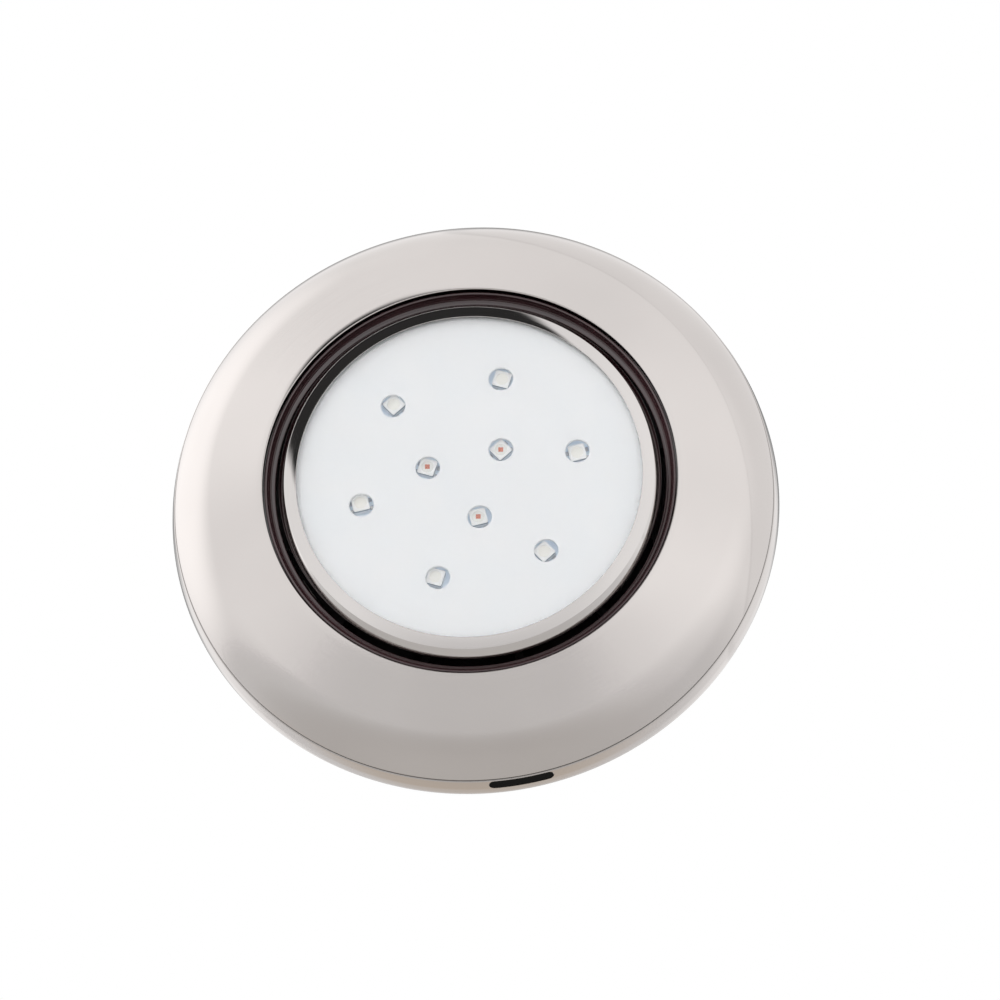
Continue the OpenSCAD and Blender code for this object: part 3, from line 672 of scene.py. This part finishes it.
def ring_carrier():
    """The black ring in the opening, its web along the back of the sheet, and the lug in the slot."""
    outer = 42.206
    bead = 0.3
    bead_at = (outer - bead, 16.2)
    ridge = 0.25
    ridge_at = (40.3, 14.35)
    hollow = bead_at[0] - bead - ridge_at[0]
    hollow_at = (ridge_at[0], ridge_at[1] + ridge + hollow)
    web = 0.6
    web_end_h = 6.0
    back_r = SHOULDER_R - SHEET - 0.05
    hook_h = LIP_END_H - 0.05
    turns = [math.degrees(math.asin((web_end_h - SHOULDER_AT[1]) / r)) for r in (back_r - web, back_r)]
    outline = (
        arc(bead_at, bead, 30, 180, 16)
        + arc(hollow_at, hollow, 360, 270, 24)[1:]
        + arc(ridge_at, ridge, 75, 270, 18)
        + [(ridge_at[0] + 0.7, hook_h - 0.6), (outer + SHEET + web, hook_h - web - 0.4)]
        + arc(SHOULDER_AT, back_r - web, 90 - CONE_SLOPE, turns[0], 24)
        + arc(SHOULDER_AT, back_r, turns[1], 90 - CONE_SLOPE, 24)
        + [(outer + SHEET + 0.15, hook_h + 0.55), (outer + SHEET + 0.1, hook_h), (outer, hook_h)]
    )
    mesh = bmesh.new()
    spin_rows(mesh, divided(outline), SIDES)
    web_end_r = SHOULDER_AT[0] + back_r * math.cos(math.radians(turns[1]))
    half = (SLOT_LEN - SLOT_W) / 2
    arm_low = (web_end_r - web, -half, SLOT_H - SLOT_W / 2 + 0.1)
    add_box(mesh, arm_low, (web_end_r - 0.1, half, web_end_h + 0.6), at(0, SLOT_AT))
    gloss = MATERIALS["black_gloss"]
    finish_piece("ring_carrier_moulding", mesh, "escutcheon", gloss, ["ring_carrier"])
    mesh = bmesh.new()
    add_lug(mesh, web_end_r - web / 2)
    finish_piece("ring_carrier_lug", mesh, "escutcheon", LUG_BLACK)


# The lens ring's inner edge over the lens, its side wall, and the housing cup it grips
LENS_EDGE_R = 35.5
LENS_EDGE_H = extent("lens_ring")[2]
RING_WALL_R = 39.2
CUP_R = 38.2
RING_FOOT_H = 10.2
LENS_R = 37.2
LENS_BACK_H = extent("lens")[1]


def lens_ring():
    """The bright ring that holds the lens: a crowned front, a bevel and a straight side."""
    outline = rounded(
        [(LENS_EDGE_R, LENS_EDGE_H - 0.3), (LENS_EDGE_R, LENS_EDGE_H, 0.07)]
        + [(37.95, LENS_EDGE_H - 0.64, 0.15), (RING_WALL_R - 0.1, LENS_EDGE_H - 2.29, 0.3)]
        + [(RING_WALL_R, LENS_EDGE_H - 2.6, 0.3)]
        + [(RING_WALL_R, 11.4, 0.3), (39.35, 11.0, 0.2), (39.35, RING_FOOT_H, 0.15)]
        + [(CUP_R + 0.05, RING_FOOT_H), (CUP_R + 0.05, 12.1), (CUP_R - 0.2, 12.35), (CUP_R - 0.2, 12.85)]
        + [(CUP_R + 0.05, 13.1), (CUP_R + 0.05, 16.85), (37.3, 16.85), (37.3, LENS_BACK_H + 0.5)],
        steps=8,
    )
    lathe_piece("lens_ring_skin", outline, "light", MATERIALS["chrome_plate"], ["lens_ring"])


def lens():
    """The clear lens, its rim bevelled under the lens ring."""
    front = LENS_EDGE_H - 0.35
    outline = rounded([
        (0, LENS_BACK_H), (LENS_R, LENS_BACK_H, 0.1), (LENS_R, LENS_BACK_H + 0.4, 0.15),
        (LENS_EDGE_R + 0.1, front, 0.04), (0, front),
    ])
    lathe_piece("lens_disc", outline, "light", MATERIALS["clear_lens"], ["lens"])


def lens_gasket():
    """The gasket between the lens and the housing."""
    inner, low = 36.0, 16.8
    outline = rounded([
        (inner, low, 0.2), (LENS_R, low, 0.2), (LENS_R, LENS_BACK_H, 0.2), (inner, LENS_BACK_H, 0.2),
    ])
    lathe_piece("lens_gasket_ring", outline, "light", MATERIALS["silicone"], ["lens_gasket"])


# The holes' places as (radius, angle in degrees), and the sizes of the holes and the plate
OUTER_CIRCLE = [(22.75, 13.6 + i * 60) for i in range(6)]
INNER_CIRCLE = [(8.9, 43.6 + i * 120) for i in range(3)]
HOLE_R = 2.5
MASK_R, MASK_SKIRT_H, MASK_FRONT_H = extent("mask_plate")
MASK_BACK_H = MASK_FRONT_H - 0.7


def mask_plate():
    """The white plate in front of the LEDs. Its holes and rim have small radii."""
    edge = 0.12
    flat = 0.35
    skirt_in = MASK_R - 1.4
    mesh = bmesh.new()
    rim = (
        [(MASK_R - edge - flat, MASK_FRONT_H)]
        + arc((MASK_R - edge, MASK_FRONT_H - edge), edge, 90, 0, 4)
        + [(MASK_R, MASK_SKIRT_H), (skirt_in, MASK_SKIRT_H)]
        + [(skirt_in, MASK_BACK_H), (skirt_in - flat, MASK_BACK_H)]
    )
    loops = spin_rows(mesh, rim, SIDES, closed=False)
    fronts, backs = [loops[0]], [loops[-1]]
    hole = (
        [(HOLE_R + edge + flat, MASK_FRONT_H)]
        + arc((HOLE_R + edge, MASK_FRONT_H - edge), edge, 90, 180, 4)
        + arc((HOLE_R + edge, MASK_BACK_H + edge), edge, 180, 270, 4)
        + [(HOLE_R + edge + flat, MASK_BACK_H)]
    )
    for radius, angle in OUTER_CIRCLE + INNER_CIRCLE:
        loops = spin_rows(mesh, hole, SMALL_SIDES, at(radius, angle), closed=False)
        fronts.append(loops[0])
        backs.append(loops[-1])
    for side in (fronts, backs):
        edges = [mesh.edges.get((loop[i - 1], loop[i])) for loop in side for i in range(len(loop))]
        bmesh.ops.triangle_fill(mesh, edges=edges, use_beauty=True)
    finish_piece("mask_plate_disc", mesh, "light", MATERIALS["white_mask"], ["mask_plate"])


BOARD_FRONT_H = extent("led_board")[2]
LED_TOP_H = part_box("outer_leds")[0].y / -MM
LED_W = 3.5
# The LED pattern sits a little off the holes' pattern, as in the photograph
ON_BOARD = Matrix.Translation((-0.2, 0.45, 0)) @ Matrix.Rotation(math.radians(-1), 4, "Z")


def square_radius(side):
    """The radius function of a square, its corners cut off a little."""
    half = side / 2
    corner = half * math.sqrt(2) - 0.04968 * side

    def radius(angle):
        c, s = abs(math.cos(angle)), abs(math.sin(angle))
        return min(half / max(c, s), corner * math.sqrt(2) / (c + s))

    return radius


def led_packages(name, node, circle, fill):
    """Square LED packages: bodies with a chamfered top and a round cup, resin in it, and solder."""
    bodies, resin, solder = bmesh.new(), bmesh.new(), bmesh.new()
    top = LED_TOP_H
    cup = 1.3
    for radius, angle in circle:
        place = ON_BOARD @ at(radius, angle)
        spin_rows(bodies, [
            (0, BOARD_FRONT_H), (square_radius(LED_W), BOARD_FRONT_H), (square_radius(LED_W), top - 0.1),
            (square_radius(LED_W - 0.2), top), (cup + 0.06, top), (cup, top - 0.05), (cup - 0.2, top - 0.3),
            (0, top - 0.3),
        ], SMALL_SIDES, place)
        spin_rows(resin, [
            (0, top - 0.26), (cup - 0.17, top - 0.26), (cup - 0.03, top - 0.06), (cup * 0.6, top - 0.03),
            (0, top - 0.02),
        ], SMALL_SIDES, place)
        for side in (-1, 1):
            for y in (-0.9, 0.9):
                low = (side * (LED_W / 2 + 0.35) - 0.35, y - 0.5, BOARD_FRONT_H)
                high = (side * (LED_W / 2 + 0.35) + 0.35, y + 0.5, BOARD_FRONT_H + 0.25)
                add_box(solder, low, high, place)
    package = MATERIALS["led_package"]
    finish_piece(name + "_bodies", bodies, "light", package, [node], sharp=25)
    finish_piece(name + "_resin", resin, "light", fill, sharp=60)
    bevel(finish_piece(name + "_solder", solder, "light", SOLDER), 0.12)


def red_dies():
    """The red chips in the inner packages."""
    dies = bmesh.new()
    half = 0.5
    for radius, angle in INNER_CIRCLE:
        place = ON_BOARD @ at(radius, angle) @ Matrix.Rotation(math.radians(-angle), 4, "Z")
        add_box(dies, (-half, -half, LED_TOP_H - 0.29), (half, half, LED_TOP_H - 0.01), place)
    piece = finish_piece("red_die_chips", dies, "light", MATERIALS["red_die"], ["red_dies"])
    bevel(piece, 0.03, 2)


# ------------ the housing and what is behind the face

# The housing: its clips and board screws in degrees, its flange, and the G 1 1/2 thread on its neck
CLIP_ANGLES = [90, 210, 330]
CLIP_SHEET = 0.6
SCREW_ANGLES = [73.6, 193.6, 313.6]
FLANGE_R, NECK_END_H, HOUSING_FRONT_H = extent("housing")
FLANGE_FRONT_H = 5.0
FLANGE_BACK_H = extent("wall_gasket")[2]
NECK_R = 23.9
NECK_ROOT_R = 22.42
NECK_PITCH = 2.309
NECK_THREAD_H = -9.7
HOUSING_SIDES = 256


def housing():
    """The moulded housing: cup, flange with ribs, plain neck, G 1 1/2 thread and rear wall."""
    mesh = bmesh.new()
    thread_end = NECK_END_H + 2.6
    rear_wall_h = NECK_END_H + 4
    outline = rounded([
        (NECK_ROOT_R, thread_end), (NECK_ROOT_R, NECK_END_H + 1.2, 0.3), (NECK_ROOT_R - 1, NECK_END_H, 0.2),
        (10.0, NECK_END_H, 0.3), (10.0, rear_wall_h), (19.2, rear_wall_h, 0.8), (19.2, -7.6), (20.5, -7.6),
        (20.5, FLANGE_FRONT_H, 0.4), (36.0, FLANGE_FRONT_H, 0.4), (36.0, HOUSING_FRONT_H, 0.15),
        (CUP_R, HOUSING_FRONT_H, 0.3), (CUP_R, 13.2, 0.1), (CUP_R - 0.4, 13.0, 0.1),
        (CUP_R - 0.4, 12.2, 0.1), (CUP_R, 12.0, 0.1), (CUP_R, RING_FOOT_H),
        (39.3, RING_FOOT_H, 0.25), (39.3, FLANGE_FRONT_H, 0.6),
        (FLANGE_R, FLANGE_FRONT_H, 0.7), (FLANGE_R, FLANGE_BACK_H, 0.4), (NECK_R, FLANGE_BACK_H, 0.3),
        (NECK_R, NECK_THREAD_H + 0.2, 0.2), (NECK_ROOT_R, NECK_THREAD_H),
    ])
    spin_rows(mesh, divided(outline, 3.0, closed=False), HOUSING_SIDES, closed=False)
    add_thread(mesh, NECK_ROOT_R, NECK_R, NECK_THREAD_H, thread_end, NECK_PITCH, HOUSING_SIDES)
    sunk = FLANGE_FRONT_H - 0.4
    ribs = 12
    rib = [(38.9, sunk), (FLANGE_R - 3, sunk), (FLANGE_R - 3, 5.6), (38.9, 9.2)]
    for i in range(ribs):
        add_strip(mesh, rib, -0.9, 0.9, at(0, (i + 0.5) * 360 / ribs))
    boss = [(0, sunk), (3.2, sunk), (3.2, RING_FOOT_H), (0, RING_FOOT_H)]
    for angle in SCREW_ANGLES:
        spin_rows(mesh, boss, 48, at(30.5, angle))
    finish_piece("housing_shell", mesh, "light", MATERIALS["black_abs"], ["housing"])


def flat_ring(name, node, body, slot, inner, corner):
    """A flat ring with rounded corners."""
    outer, back, front = extent(node)
    outline = [(inner, back, corner), (outer, back, corner), (outer, front, corner), (inner, front, corner)]
    lathe_piece(name, rounded(outline), body, MATERIALS[slot], [node], sides=HOUSING_SIDES)


def ring_clips():
    """The bent spring-steel clips that grip the face ring's hem."""
    half_width = 4.5
    mid_h = FLANGE_FRONT_H + CLIP_SHEET / 2
    tip_r = FACE_R - HEM - 0.5 - CLIP_SHEET / 2
    path = rounded([
        (42.5, mid_h), (FLANGE_R + 1.2, mid_h, 1.2), (tip_r - 2.6, mid_h + 1.6, 0.5),
        (tip_r - 1.5, mid_h + 0.9, 0.6), (tip_r - 1.1, mid_h - 1.6, 1.0), (tip_r, mid_h - 2.6, 0.7),
        (tip_r - 1.2, mid_h - 3.9),
    ])
    sides = []
    for offset in (CLIP_SHEET / 2, -CLIP_SHEET / 2):
        side = []
        for i, point in enumerate(path):
            along = Vector(path[min(i + 1, len(path) - 1)]) - Vector(path[max(i - 1, 0)])
            normal = Vector((-along.y, along.x)).normalized()
            side.append(tuple(Vector(point) + normal * offset))
        sides.append(side)
    mesh = bmesh.new()
    for angle in CLIP_ANGLES:
        add_strip(mesh, sides[0] + sides[1][::-1], -half_width, half_width, at(0, angle))
    steel = MATERIALS["spring_steel"]
    piece = finish_piece("ring_clip_springs", mesh, "light", steel, ["ring_clips"], sharp=40)
    bevel(piece, 0.1, 2)


def clip_screws():
    """The clips' pan-head screws, with a hexagon socket."""
    seat = FLANGE_FRONT_H + CLIP_SHEET
    head = seat + 1.8
    head_r, shank_r, end = 2.8, 1.28, 2.8
    socket = polygon_radius(2.3, 6)
    dome = arc((head_r - 1.0, head - 1.0), 1.0, 0, 90, 6)
    mesh = bmesh.new()
    for angle in CLIP_ANGLES:
        spin_rows(mesh, [
            (0, end), (shank_r * 0.7, end), (shank_r, end + 0.5), (shank_r, seat),
            (head_r - 0.1, seat), (head_r, seat + 0.1), *dome, (1.62, head), (1.5, head - 0.06),
            (socket, head - 0.15), (socket, seat + 0.6), (0, seat + 0.5),
        ], 72, at(46.5, angle))
    finish_piece("clip_screw_set", mesh, "light", SCREW_STEEL, ["clip_screws"], sharp=30)


def limited(shape, cap):
    """A radius function cut off at a largest radius, as turning the corners off a nut does."""
    return lambda angle: min(shape(angle), cap)


def hexagon_rows(across, low, high):
    """Rows up the side of a hexagon, its corners turned off at both ends."""
    shape = polygon_radius(across, 6)
    corner = across / 2 / math.cos(math.radians(30))
    caps = [across / 2 + (corner - across / 2) * share for share in (0, 0.33, 0.66, 0.96)]
    rows = [(limited(shape, cap), low + (cap - across / 2) * 0.58) for cap in caps]
    return rows + [(limited(shape, cap), high - (cap - across / 2) * 0.58) for cap in reversed(caps)]


NUT_BORE_R = 24.2


def lock_nut():
    """The lock nut: a thin flange, eight grip lugs, and a thread that runs in the neck's."""
    _, back, front = extent("lock_nut")
    lugs = 8
    lug_half = 3.5
    flange_r = 32.5
    body_r = 29.0
    lug_r = 33.0

    def lug_radius(angle):
        step = 2 * math.pi / lugs
        off = abs((angle + step / 2) % step - step / 2) * lug_r
        return body_r + (lug_r - body_r) * smoothstep((lug_half + 0.4 - off) / 0.8)

    start, end = front - 0.6, back + 0.6
    shift = 0.5 + (NECK_THREAD_H - start) / NECK_PITCH
    mesh = bmesh.new()
    spin_rows(mesh, [
        (NUT_BORE_R, start), (NUT_BORE_R + 0.5, front), (flange_r - 0.3, front), (flange_r, front - 0.3),
        (flange_r, front - 1.7), (flange_r - 0.3, front - 2.0), (lug_radius, front - 2.0 - 0.01),
        (lug_radius, front - 5.0), (lug_radius, back + 0.5), (lambda a: lug_radius(a) - 0.4, back),
        (NUT_BORE_R + 0.5, back), (NUT_BORE_R, end),
    ], HOUSING_SIDES, closed=False)
    add_thread(mesh, NUT_BORE_R, NUT_BORE_R - 1.2, start, end, NECK_PITCH, HOUSING_SIDES, shift)
    finish_piece("lock_nut_moulding", mesh, "nut", MATERIALS["black_nylon"], ["lock_nut"])


# The gland: its width across flats, its M20 x 1.5 thread and the height where the rear thread starts
GLAND_AF = 24.0
GLAND_R = 9.9
GLAND_ROOT_R = 9.1
GLAND_PITCH = 1.5
GLAND_THREAD_H = -51.0
GLAND_SIDES = 192
GLAND_NYLON = MATERIALS["gland_nylon"]


def gland_body():
    """The gland body: two threads with a hexagon between them, bored through for the seal and the cable."""
    _, mouth, front = extent("gland_body")
    seat = extent("gland_washer")[1]
    hex_back = seat - 5
    mesh = bmesh.new()
    start, stop = front - 0.6, seat + 0.4
    spin_rows(mesh, [
        (GLAND_ROOT_R, start), (GLAND_ROOT_R - 0.4, front), (5.2, front), (5.0, front - 0.2),
        (5.0, hex_back), (7.0, hex_back), (7.0, mouth + 0.3), (7.3, mouth),
        (GLAND_ROOT_R - 0.3, mouth), (GLAND_ROOT_R, mouth + 0.4),
    ], GLAND_SIDES, closed=False)
    add_thread(mesh, GLAND_ROOT_R, GLAND_R, start, stop, GLAND_PITCH, GLAND_SIDES)
    spin_rows(mesh, [
        (GLAND_ROOT_R, stop), (GLAND_ROOT_R, seat), *reversed(hexagon_rows(GLAND_AF, hex_back, seat)),
        (GLAND_ROOT_R, hex_back), (GLAND_ROOT_R, GLAND_THREAD_H),
    ], GLAND_SIDES, closed=False)
    add_thread(mesh, GLAND_ROOT_R, GLAND_R, GLAND_THREAD_H, mouth + 0.4, GLAND_PITCH, GLAND_SIDES)
    finish_piece("gland_body_moulding", mesh, "light", GLAND_NYLON, ["gland_body"])


def gland_nut():
    """The dome nut, its thread running on the gland body's."""
    _, end, front = extent("gland_nut")
    inner = extent("gland_slip_ring")[1] - 0.3
    bore = GLAND_R + 0.3
    start = front - 0.7
    stop = inner + 0.8
    dome = arc((7.0, inner - 1), GLAND_AF / 2 - 8.2, -8, -84, 14)
    shift = 0.5 + (GLAND_THREAD_H - start) / GLAND_PITCH
    mesh = bmesh.new()
    spin_rows(mesh, [
        (bore, start), (bore + 0.6, front), *reversed(hexagon_rows(GLAND_AF, inner - 1, front)), *dome,
        (6.7, end), (5.1, end), (4.8, end + 0.3), (4.8, inner), (bore, inner), (bore, stop),
    ], GLAND_SIDES, closed=False)
    add_thread(mesh, bore, bore - 0.7, start, stop, GLAND_PITCH, GLAND_SIDES, shift)
    finish_piece("gland_nut_moulding", mesh, "dome_nut", GLAND_NYLON, ["gland_nut"])


def gland_small_parts():
    """The gland's inner lock nut, washer, seal and slip ring."""
    _, back, front = extent("gland_lock_nut")
    mesh = bmesh.new()
    rows = hexagon_rows(GLAND_AF, back, front)
    spin_rows(mesh, [(GLAND_R + 0.05, back), *rows, (GLAND_R + 0.05, front)], GLAND_SIDES)
    finish_piece("gland_lock_nut_moulding", mesh, "light", GLAND_NYLON, ["gland_lock_nut"])
    for node, body, slot, inner in (
        ("gland_washer", "light", "gasket_rubber", 10.1), ("gland_seal", "light", "gasket_rubber", 3.5),
        ("gland_slip_ring", "slip_ring", "acetal", 4.2),
    ):
        flat_ring(node + "_ring", node, body, slot, inner, corner=0.25)


# ------------ CAD nodes that stay

# The material of each; None stands for the screws' own steel
CARRIED_OVER = {
    "led_board": "board_white",
    "board_screws": None,
    "thermal_pad": "thermal_pad",
    "heat_sink": "heat_sink",
    "led_leads": "red_wire",
    "driver_board": "green_board",
    "capacitor": "capacitor_sleeve",
    "choke_core": "ferrite",
    "choke_winding": "copper_wire",
    "rectifier": "black_epoxy",
    "control_chip": "black_epoxy",
    "terminal_block": "terminal_green",
    "supply_leads": "black_wire",
    "resin_seal": "potting_resin",
}


def dress_cad_nodes():
    """Gives the CAD nodes that stay their materials."""
    for node, slot in CARRIED_OVER.items():
        material = MATERIALS[slot] if slot else SCREW_STEEL
        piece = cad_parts[node]
        if not piece.material_slots:
            piece.data.materials.append(material)
        for material_slot in piece.material_slots:
            material_slot.material = material


# ------------ studio

# The floor, in metres from the origin: its height, its radius, and the distances over which it grows
# lighter, fades away, and fades away on the right
FLOOR_Z = -3.2
FLOOR_R = 27.0
FLOOR_LIGHTER = (2.0, 9.0)
FLOOR_FADES = (6.0, 20.0)
FLOOR_FADES_RIGHT = (1.0, 6.0)


def make_floor():
    """A plain pale floor, painted lighter further out as painted light for the metal's reflections, that
    fades away before its edge, sooner on the right.
    """
    mesh = bmesh.new()
    bmesh.ops.create_circle(mesh, cap_ends=True, segments=128, radius=FLOOR_R)
    floor = new_object("floor", mesh)
    floor.location.z = FLOOR_Z
    material, tree, shader = new_material("floor", Roughness=0.9, Specular_IOR_Level=0.0)
    place = place_of(tree)
    away = add(tree, "ShaderNodeVectorMath", {0: place}, operation="LENGTH").outputs["Value"]
    across, depth, _ = add(tree, "ShaderNodeSeparateXYZ", {"Vector": place}).outputs
    behind = between(tree, depth, 0, 1, 0.8, 3.6)
    near = tinted(tree, behind, (0.55, 0.54, 0.525), (0.57, 0.50, 0.42))
    # Painted light: the floor's colour grows lighter further out
    share = eased(tree, away, *FLOOR_LIGHTER)
    mix = add(tree, "ShaderNodeMix", {"Factor": share}, data_type="RGBA")
    tree.links.new(near, mix.inputs["A"])
    mix.inputs["B"].default_value = (0.80, 0.80, 0.80, 1)
    tree.links.new(mix.outputs["Result"], shader.inputs["Base Color"])
    left = between(tree, away, 1, 0, *FLOOR_FADES)
    left_on_right = between(tree, across, 1, 0, *FLOOR_FADES_RIGHT)
    tree.links.new(product(tree, left, left_on_right), shader.inputs["Alpha"])
    floor.data.materials.append(material)


# Soft panels of light and shade round the white studio: the azimuth and elevation of each one's middle,
# the angles within which it is full and beyond which it is gone, and the change it makes to the brightness
PANELS = [
    (-95, 28, 8, 45, 0.40),
    (45, 22, 8, 36, 0.07),
    (-45, 55, 8, 36, 0.06),
    (0, -6, 5, 24, -0.14),
    (0, 68, 8, 30, -0.03),
    (50, -14, 8, 34, 0.10),
    (120, 40, 47.5, 48.5, -0.12),
    (120, 40, 45.5, 46.5, 0.06),
    (184, 22.9, 10, 32, -0.72),
]
# A dark flag, given in the same way, and the share of the studio's light that it leaves
FLAG = (-18, 42, 19, 22.3)
FLAG_LIGHT = 0.03
# The sines of the elevations between which the studio darkens downwards, and how dark it gets
HORIZON = (-0.44, 0.03)
BELOW_HORIZON = 0.72
STUDIO_LEVEL = 1.35


def make_studio():
    """A white world, darker below the horizon, with soft panels; the camera sees it plain white."""
    world = bpy.data.worlds.new("studio")
    bpy.context.scene.world = world
    world.use_nodes = True
    tree = world.node_tree
    background = tree.nodes["Background"]
    ray = add(tree, "ShaderNodeTexCoord").outputs["Generated"]

    def patch(azimuth, elevation, full, gone):
        towards = direction(math.radians(azimuth), math.radians(elevation))
        dot = add(tree, "ShaderNodeVectorMath", {0: ray, 1: towards}, operation="DOT_PRODUCT")
        edges = [math.cos(math.radians(angle)) for angle in (gone, full)]
        return eased(tree, dot.outputs["Value"], *edges)

    height = add(tree, "ShaderNodeSeparateXYZ", {"Vector": ray}).outputs[2]
    light = eased(tree, height, *HORIZON, low=BELOW_HORIZON)
    for azimuth, elevation, full, gone, change in PANELS:
        light = add(
            tree, "ShaderNodeMath", {0: patch(azimuth, elevation, full, gone), 1: change, 2: light},
            operation="MULTIPLY_ADD",
        ).outputs[0]
    open_share = between(tree, patch(*FLAG), 1, FLAG_LIGHT, 0, 1)
    light = product(tree, product(tree, light, open_share), STUDIO_LEVEL)
    to_camera = add(tree, "ShaderNodeLightPath").outputs["Is Camera Ray"]
    tree.links.new(mixed(tree, light, 1.0, to_camera), background.inputs["Strength"])
    background.inputs["Color"].default_value = (1, 1, 1, 1)


def make_key_light():
    """One large soft light from above and to the left, for gentle shade in the holes and behind."""
    lamp = bpy.data.lights.new("key", "AREA")
    lamp.shape = "DISK"
    lamp.size = 1.6
    lamp.energy = 100
    key = bpy.data.objects.new("key", lamp)
    towards = direction(math.radians(-50), math.radians(50))
    key.location = towards * 3
    key.rotation_mode = "QUATERNION"
    key.rotation_quaternion = towards.to_track_quat("Z", "Y")
    key.visible_glossy = False
    bpy.context.scene.collection.objects.link(key)


# ------------ make everything

bpy.context.scene.view_settings.view_transform = "Standard"
make_camera()
make_floor()
make_studio()
make_key_light()

face_ring()
ring_carrier()
lens_ring()
lens()
lens_gasket()
mask_plate()
led_packages("outer_led", "outer_leds", OUTER_CIRCLE, PHOSPHOR)
led_packages("inner_led", "inner_leds", INNER_CIRCLE, CLEAR_RESIN)
red_dies()
housing()
flat_ring("wall_gasket_ring", "wall_gasket", "light", "gasket_rubber", inner=24.9, corner=0.4)
ring_clips()
clip_screws()
flat_ring("rear_gasket_ring", "rear_gasket", "clamp", "gasket_rubber", inner=24.3, corner=0.4)
flat_ring("slip_washer_ring", "slip_washer", "clamp", "black_nylon", inner=24.3, corner=0.2)
lock_nut()
gland_body()
gland_nut()
gland_small_parts()
dress_cad_nodes()
